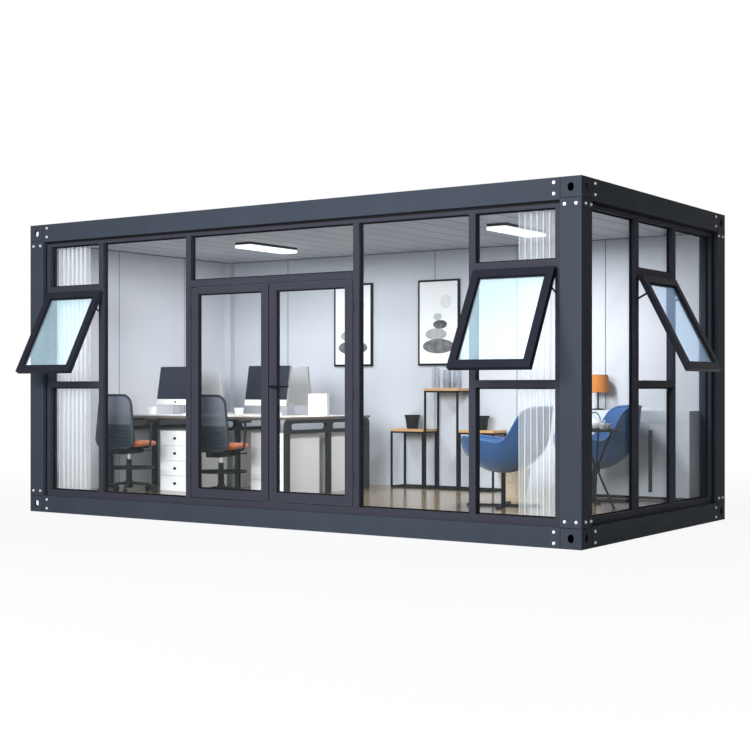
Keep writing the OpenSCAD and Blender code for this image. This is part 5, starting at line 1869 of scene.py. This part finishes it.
@dataclass
class Lounge:
    """Two felt shells with raised arms, their seat pads, and the set on the side table."""

    radius: float = 0.4
    bowl: float = 0.39
    front_open: float = 0.2
    rim: tuple[tuple[float, float], ...] = (
        (-1.0, 0.06),
        (-0.35, -0.1),
        (0.06, -0.2),
        (0.22, -0.03),
        (0.38, 0.42),
        (0.48, 0.8),
        (0.7, 0.98),
        (1.0, 1.0),
    )
    places: tuple[tuple[float, float, float], ...] = ((1.62, -0.25, -70.0), (2.08, 0.59, -56.0))
    arm_rise: float = 0.31
    back_rise: float = 0.26
    lip: float = 0.14
    columns: int = 96
    rows: int = 22
    felt: float = 0.028
    felt_at_rim: float = 0.02
    pad_height: float = 0.075

    def rim_height(self, x: float, y: float) -> float:
        """Height of the rim over the shell's underside at a place on it.

        Args:
            x, y: the place from the shell's axis.

        Returns:
            The height.
        """
        place = max(-1.0, min(1.0, y / self.radius))
        share = self.rim[-1][1]
        for (a, first), (b, second) in zip(self.rim, self.rim[1:]):
            if a <= place <= b:
                t = (place - a) / (b - a)
                share = first + (second - first) * t * t * (3 - 2 * t)
                break
        side = self.arm_rise + share * self.back_rise
        if y < -0.2 * self.radius and abs(x) < self.front_open:
            notch = self.lip + self.front_open - math.sqrt(self.front_open**2 - x * x)
            return min(side, notch)
        return side

    def smooth_rim(self, way: float) -> float:
        """Rim height at an angle, averaged over its neighbours so that no corner is sharp."""
        total, weight = 0.0, 0.0
        for k in range(-4, 5):
            angle = way + k * 0.035
            share = 1.0 - abs(k) / 5
            total += share * self.rim_height(self.radius * math.cos(angle), self.radius * math.sin(angle))
            weight += share
        return total / weight

    def wall(self, height: float) -> list[tuple[float, float]]:
        """Points of the shell's wall from the axis to a height, as radius and height."""
        flat, arc = self.radius - self.bowl, self.bowl * math.pi / 2
        if height < self.bowl:
            whole = flat + self.bowl * math.acos(1 - height / self.bowl)
        else:
            whole = flat + arc + height - self.bowl
        points = []
        for step in range(self.rows + 1):
            way = whole * step / self.rows
            if way < flat:
                points.append((way, 0.0))
            elif way < flat + arc:
                turn = (way - flat) / self.bowl
                points.append((flat + self.bowl * math.sin(turn), self.bowl * (1 - math.cos(turn))))
            else:
                points.append((self.radius, self.bowl + way - flat - arc))
        return points

    def column(self, way: float) -> list[Point]:
        """Points up the outside of a shell at an angle, over its rim and down the inside."""
        across, along = math.cos(way), math.sin(way)
        outer, inner = [], []
        for k, (r, z) in enumerate(self.wall(self.smooth_rim(way))):
            lean = 0.03 * max(0.0, along) * (z / 0.57) ** 2
            outer.append(((r + lean) * across, (r + lean) * along, z))
            thin = self.felt if k < self.rows else self.felt_at_rim
            slope = min(1.0, z / self.bowl)
            reach = max(0.0, r - thin * math.sqrt(max(0.0, 1 - (1 - slope) ** 2))) + lean
            inner.append((reach * across, reach * along, z + thin * (1 - slope)))
        return outer + inner[::-1]

    def seats(self, lift: float) -> list[tuple[str, Matrix]]:
        """Letter and place of each lounge chair, at a height over the shells' underside."""
        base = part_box("lounge_shells")[0].z + lift
        places = [Matrix.Translation((x, y, base)) for x, y, _ in self.places]
        turns = [Matrix.Rotation(math.radians(angle), 4, "Z") for _, _, angle in self.places]
        return [(letter, place @ turn) for letter, place, turn in zip("ab", places, turns)]

    def shells(self) -> None:
        """Both shells with a piped rim."""
        columns = [self.column(2 * math.pi * step / self.columns) for step in range(self.columns)]
        ends = [(Vector(c[self.rows]), Vector(c[self.rows + 1])) for c in columns]
        rim = [tuple((first + second) / 2 + Vector((0, 0, 0.002))) for first, second in ends]
        for letter, turn in self.seats(0.0):
            piece = Piece(f"lounge_shell_{letter}", Palette.blue)
            piece.add(loft([*columns, columns[0]], around=False), turn=turn)
            piece.add(pipe(rim, 0.0145, 10, closed=True), turn=turn)
            replaced = ("lounge_shells",) if letter == "a" else ()
            piece.place("cabin", "blue_cloth", *replaced, smooth=60.0)

    def pads(self) -> None:
        """A round seat pad in each shell, swollen by cloth simulation."""
        outline = [(0.0, 0.0), (0.14, 0.0), (0.2, 0.01), (0.23, 0.03), (0.235, 0.045)]
        outline += [(0.22, 0.066), (0.16, 0.076), (0.08, 0.08), (0.0, 0.081)]
        for letter, turn in self.seats(self.pad_height):
            pad = cushion(f"lounge_pad_{letter}", lathe(outline, (0, 0, 0), 56), turn, Palette.blue, 0.01)
            settle(pad, "cabin", "blue_cloth", smooth=180.0)

    def tea_set(self) -> None:
        """A white teapot with a black bow handle, two cups and a tray on the side table."""
        low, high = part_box("side_table")
        x, y, z = (low.x + high.x) / 2, (low.y + high.y) / 2, high.z
        piece = Piece("tea_set", Palette.glaze, Palette.black_metal)
        tray = [(0.0, 0.0), (0.13, 0.0), (0.142, 0.006), (0.14, 0.01), (0.128, 0.005), (0.0, 0.005)]
        piece.add(lathe(tray, (x, y, z), 44), 1)
        pot = [(0.0, 0.0), (0.038, 0.0), (0.06, 0.016), (0.066, 0.04), (0.056, 0.066), (0.03, 0.078), (0.03, 0.082)]
        pot += [(0.018, 0.09), (0.008, 0.093), (0.008, 0.1), (0.011, 0.106), (0.0, 0.112)]
        pot_x, pot_y = x - 0.03, y + 0.02
        piece.add(lathe(pot, (pot_x, pot_y, z + 0.005), 40), 0)
        spout = [(pot_x + out, pot_y, z + up) for out, up in ((0.05, 0.04), (0.082, 0.058), (0.098, 0.083))]
        piece.add(pipe(spout, 0.008, 12), 0)
        turns = [math.pi * (0.02 + 0.96 * k / 16) for k in range(17)]
        bow = [(pot_x + 0.055 * math.cos(a), pot_y, z + 0.075 + 0.075 * math.sin(a)) for a in turns]
        piece.add(pipe(bow, 0.0045, 10), 1)
        cup = [(0.0, 0.0), (0.018, 0.0), (0.021, 0.004), (0.031, 0.03), (0.034, 0.048), (0.032, 0.048)]
        cup += [(0.029, 0.03), (0.0, 0.008)]
        for dx, dy in ((0.075, -0.05), (0.06, 0.085)):
            piece.add(lathe(cup, (x + dx, y + dy, z + 0.005), 30), 0)
        piece.place("cabin", "glazed_white", smooth=50.0)


@dataclass
class PlanterCorner:
    """Handles, plinth and earth of the planter cabinet, its lamp, and the floor pot."""

    trough_start: float = 0.2
    board: float = 0.02
    soil_drop: float = 0.015
    shade_height: float = 0.17
    pot_radius: float = 0.153

    def cabinet(self) -> None:
        """A long black handle in the door, a shadow plinth and the earth of the trough."""
        low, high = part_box("planter_cabinet")
        fittings = Piece("planter_fittings", Palette.black_metal)
        x, front, back = low.x + (high.x - low.x) * 0.62, low.y - 0.006, low.y + 0.002
        fittings.add(block((x, front, low.z + 0.07), (x + 0.036, back, low.z + 0.64)), bevel=0.0025)
        fittings.add(block((low.x + 0.004, low.y - 0.002, low.z + 0.002), (high.x - 0.004, back, low.z + 0.03)))
        fittings.place("cabin", "black_metal")
        earth = Piece("planter_earth", Palette.soil)
        start, end = low.x + self.trough_start, high.x - self.board
        centre = ((start + end) / 2, (low.y + high.y) / 2, high.z - self.soil_drop)
        depth = (high.y - low.y) / 2 - self.board - 0.001
        earth.add(heap(centre, (end - start) / 2 - 0.001, depth, True, 0.008))
        earth.place("cabin", "stone_pot")

    def lamp(self) -> None:
        """A linen shade with a thin wall and trims on a black stem and foot."""
        low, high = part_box("table_lamp")
        x, y = (low.x + high.x) / 2, (low.y + high.y) / 2
        top = high.z - low.z
        base = top - self.shade_height
        piece = Piece("table_lamp_parts", Palette.shade, Palette.black_metal, Palette.lamp_glow)
        wall = [(0.1085, base), (0.111, base), (0.0945, top), (0.0925, top), (0.1085, base)]
        piece.add(lathe(wall, (x, y, low.z), 56), 0)
        for radius, height in ((0.1105, base + 0.002), (0.0945, top - 0.002)):
            piece.add(pipe(circle((x, y, low.z + height), radius), 0.0016, 8, closed=True), 1)
        foot = [(0.0, 0.0), (0.058, 0.0), (0.06, 0.004), (0.056, 0.012), (0.02, 0.015), (0.008, 0.02)]
        foot += [(0.007, base + 0.05), (0.014, base + 0.052), (0.014, base + 0.085), (0.0, base + 0.085)]
        piece.add(lathe(foot, (x, y, low.z), 40), 1)
        bulb = [(0.0, 0.0), (0.01, 0.0), (0.014, 0.012), (0.022, 0.03), (0.019, 0.047), (0.0, 0.056)]
        piece.add(lathe(bulb, (x, y, low.z + base + 0.085), 30), 2)
        for end in circle((x, y, low.z + base + 0.012), 0.107, 3):
            piece.add(pipe([(x, y, low.z + base + 0.05), end], 0.0015, 8), 1)
        piece.place("cabin", "lamp_shade", "table_lamp", smooth=50.0)

    def floor_pot(self) -> None:
        """A rounded rim and the earth of the pot on the floor."""
        low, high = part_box("floor_pot")
        x, y = (low.x + high.x) / 2, (low.y + high.y) / 2
        rim = Piece("floor_pot_rim", Palette.stone, Palette.soil)
        rim.add(pipe(circle((x, y, high.z - 0.001), self.pot_radius), 0.0075, 12, closed=True), 0)
        rim.add(heap((x, y, high.z - self.soil_drop), 0.145, 0.145, False, 0.012), 1)
        rim.place("cabin", "stone_pot")


def main() -> None:
    """Builds the studio and every sub-assembly in order."""
    logging.basicConfig(level=logging.INFO, format="%(name)s: %(message)s")
    bpy.context.scene.view_settings.view_transform = "Standard"
    studio, structure, glazing = Studio(), Structure(), Glazing()
    desk, wall, lounge, corner = Desk(), BackWall(), Lounge(), PlanterCorner()
    chairs = [OfficeChair("left"), OfficeChair("right")]
    for step in (studio.camera, studio.world, studio.floor, studio.lamps):
        step()
    for step in (structure.dress, structure.bolts, structure.paint_frame_shadows, structure.casting_shade_lines):
        step()
    for step in (glazing.gaskets, glazing.sash_handles, Lighting().diffusers, Curtains().hang):
        step()
    for step in (desk.screens, desk.keyboards, desk.knobs, desk.earth):
        step()
    for chair in chairs:
        chair.seat()
        chair.back()
    ChairBases().build(chairs)
    for step in (wall.prints, wall.pots, wall.vases, lounge.shells, lounge.pads, lounge.tea_set):
        step()
    for step in (corner.cabinet, corner.lamp, corner.floor_pot):
        step()


if __name__ == "__main__":
    main()
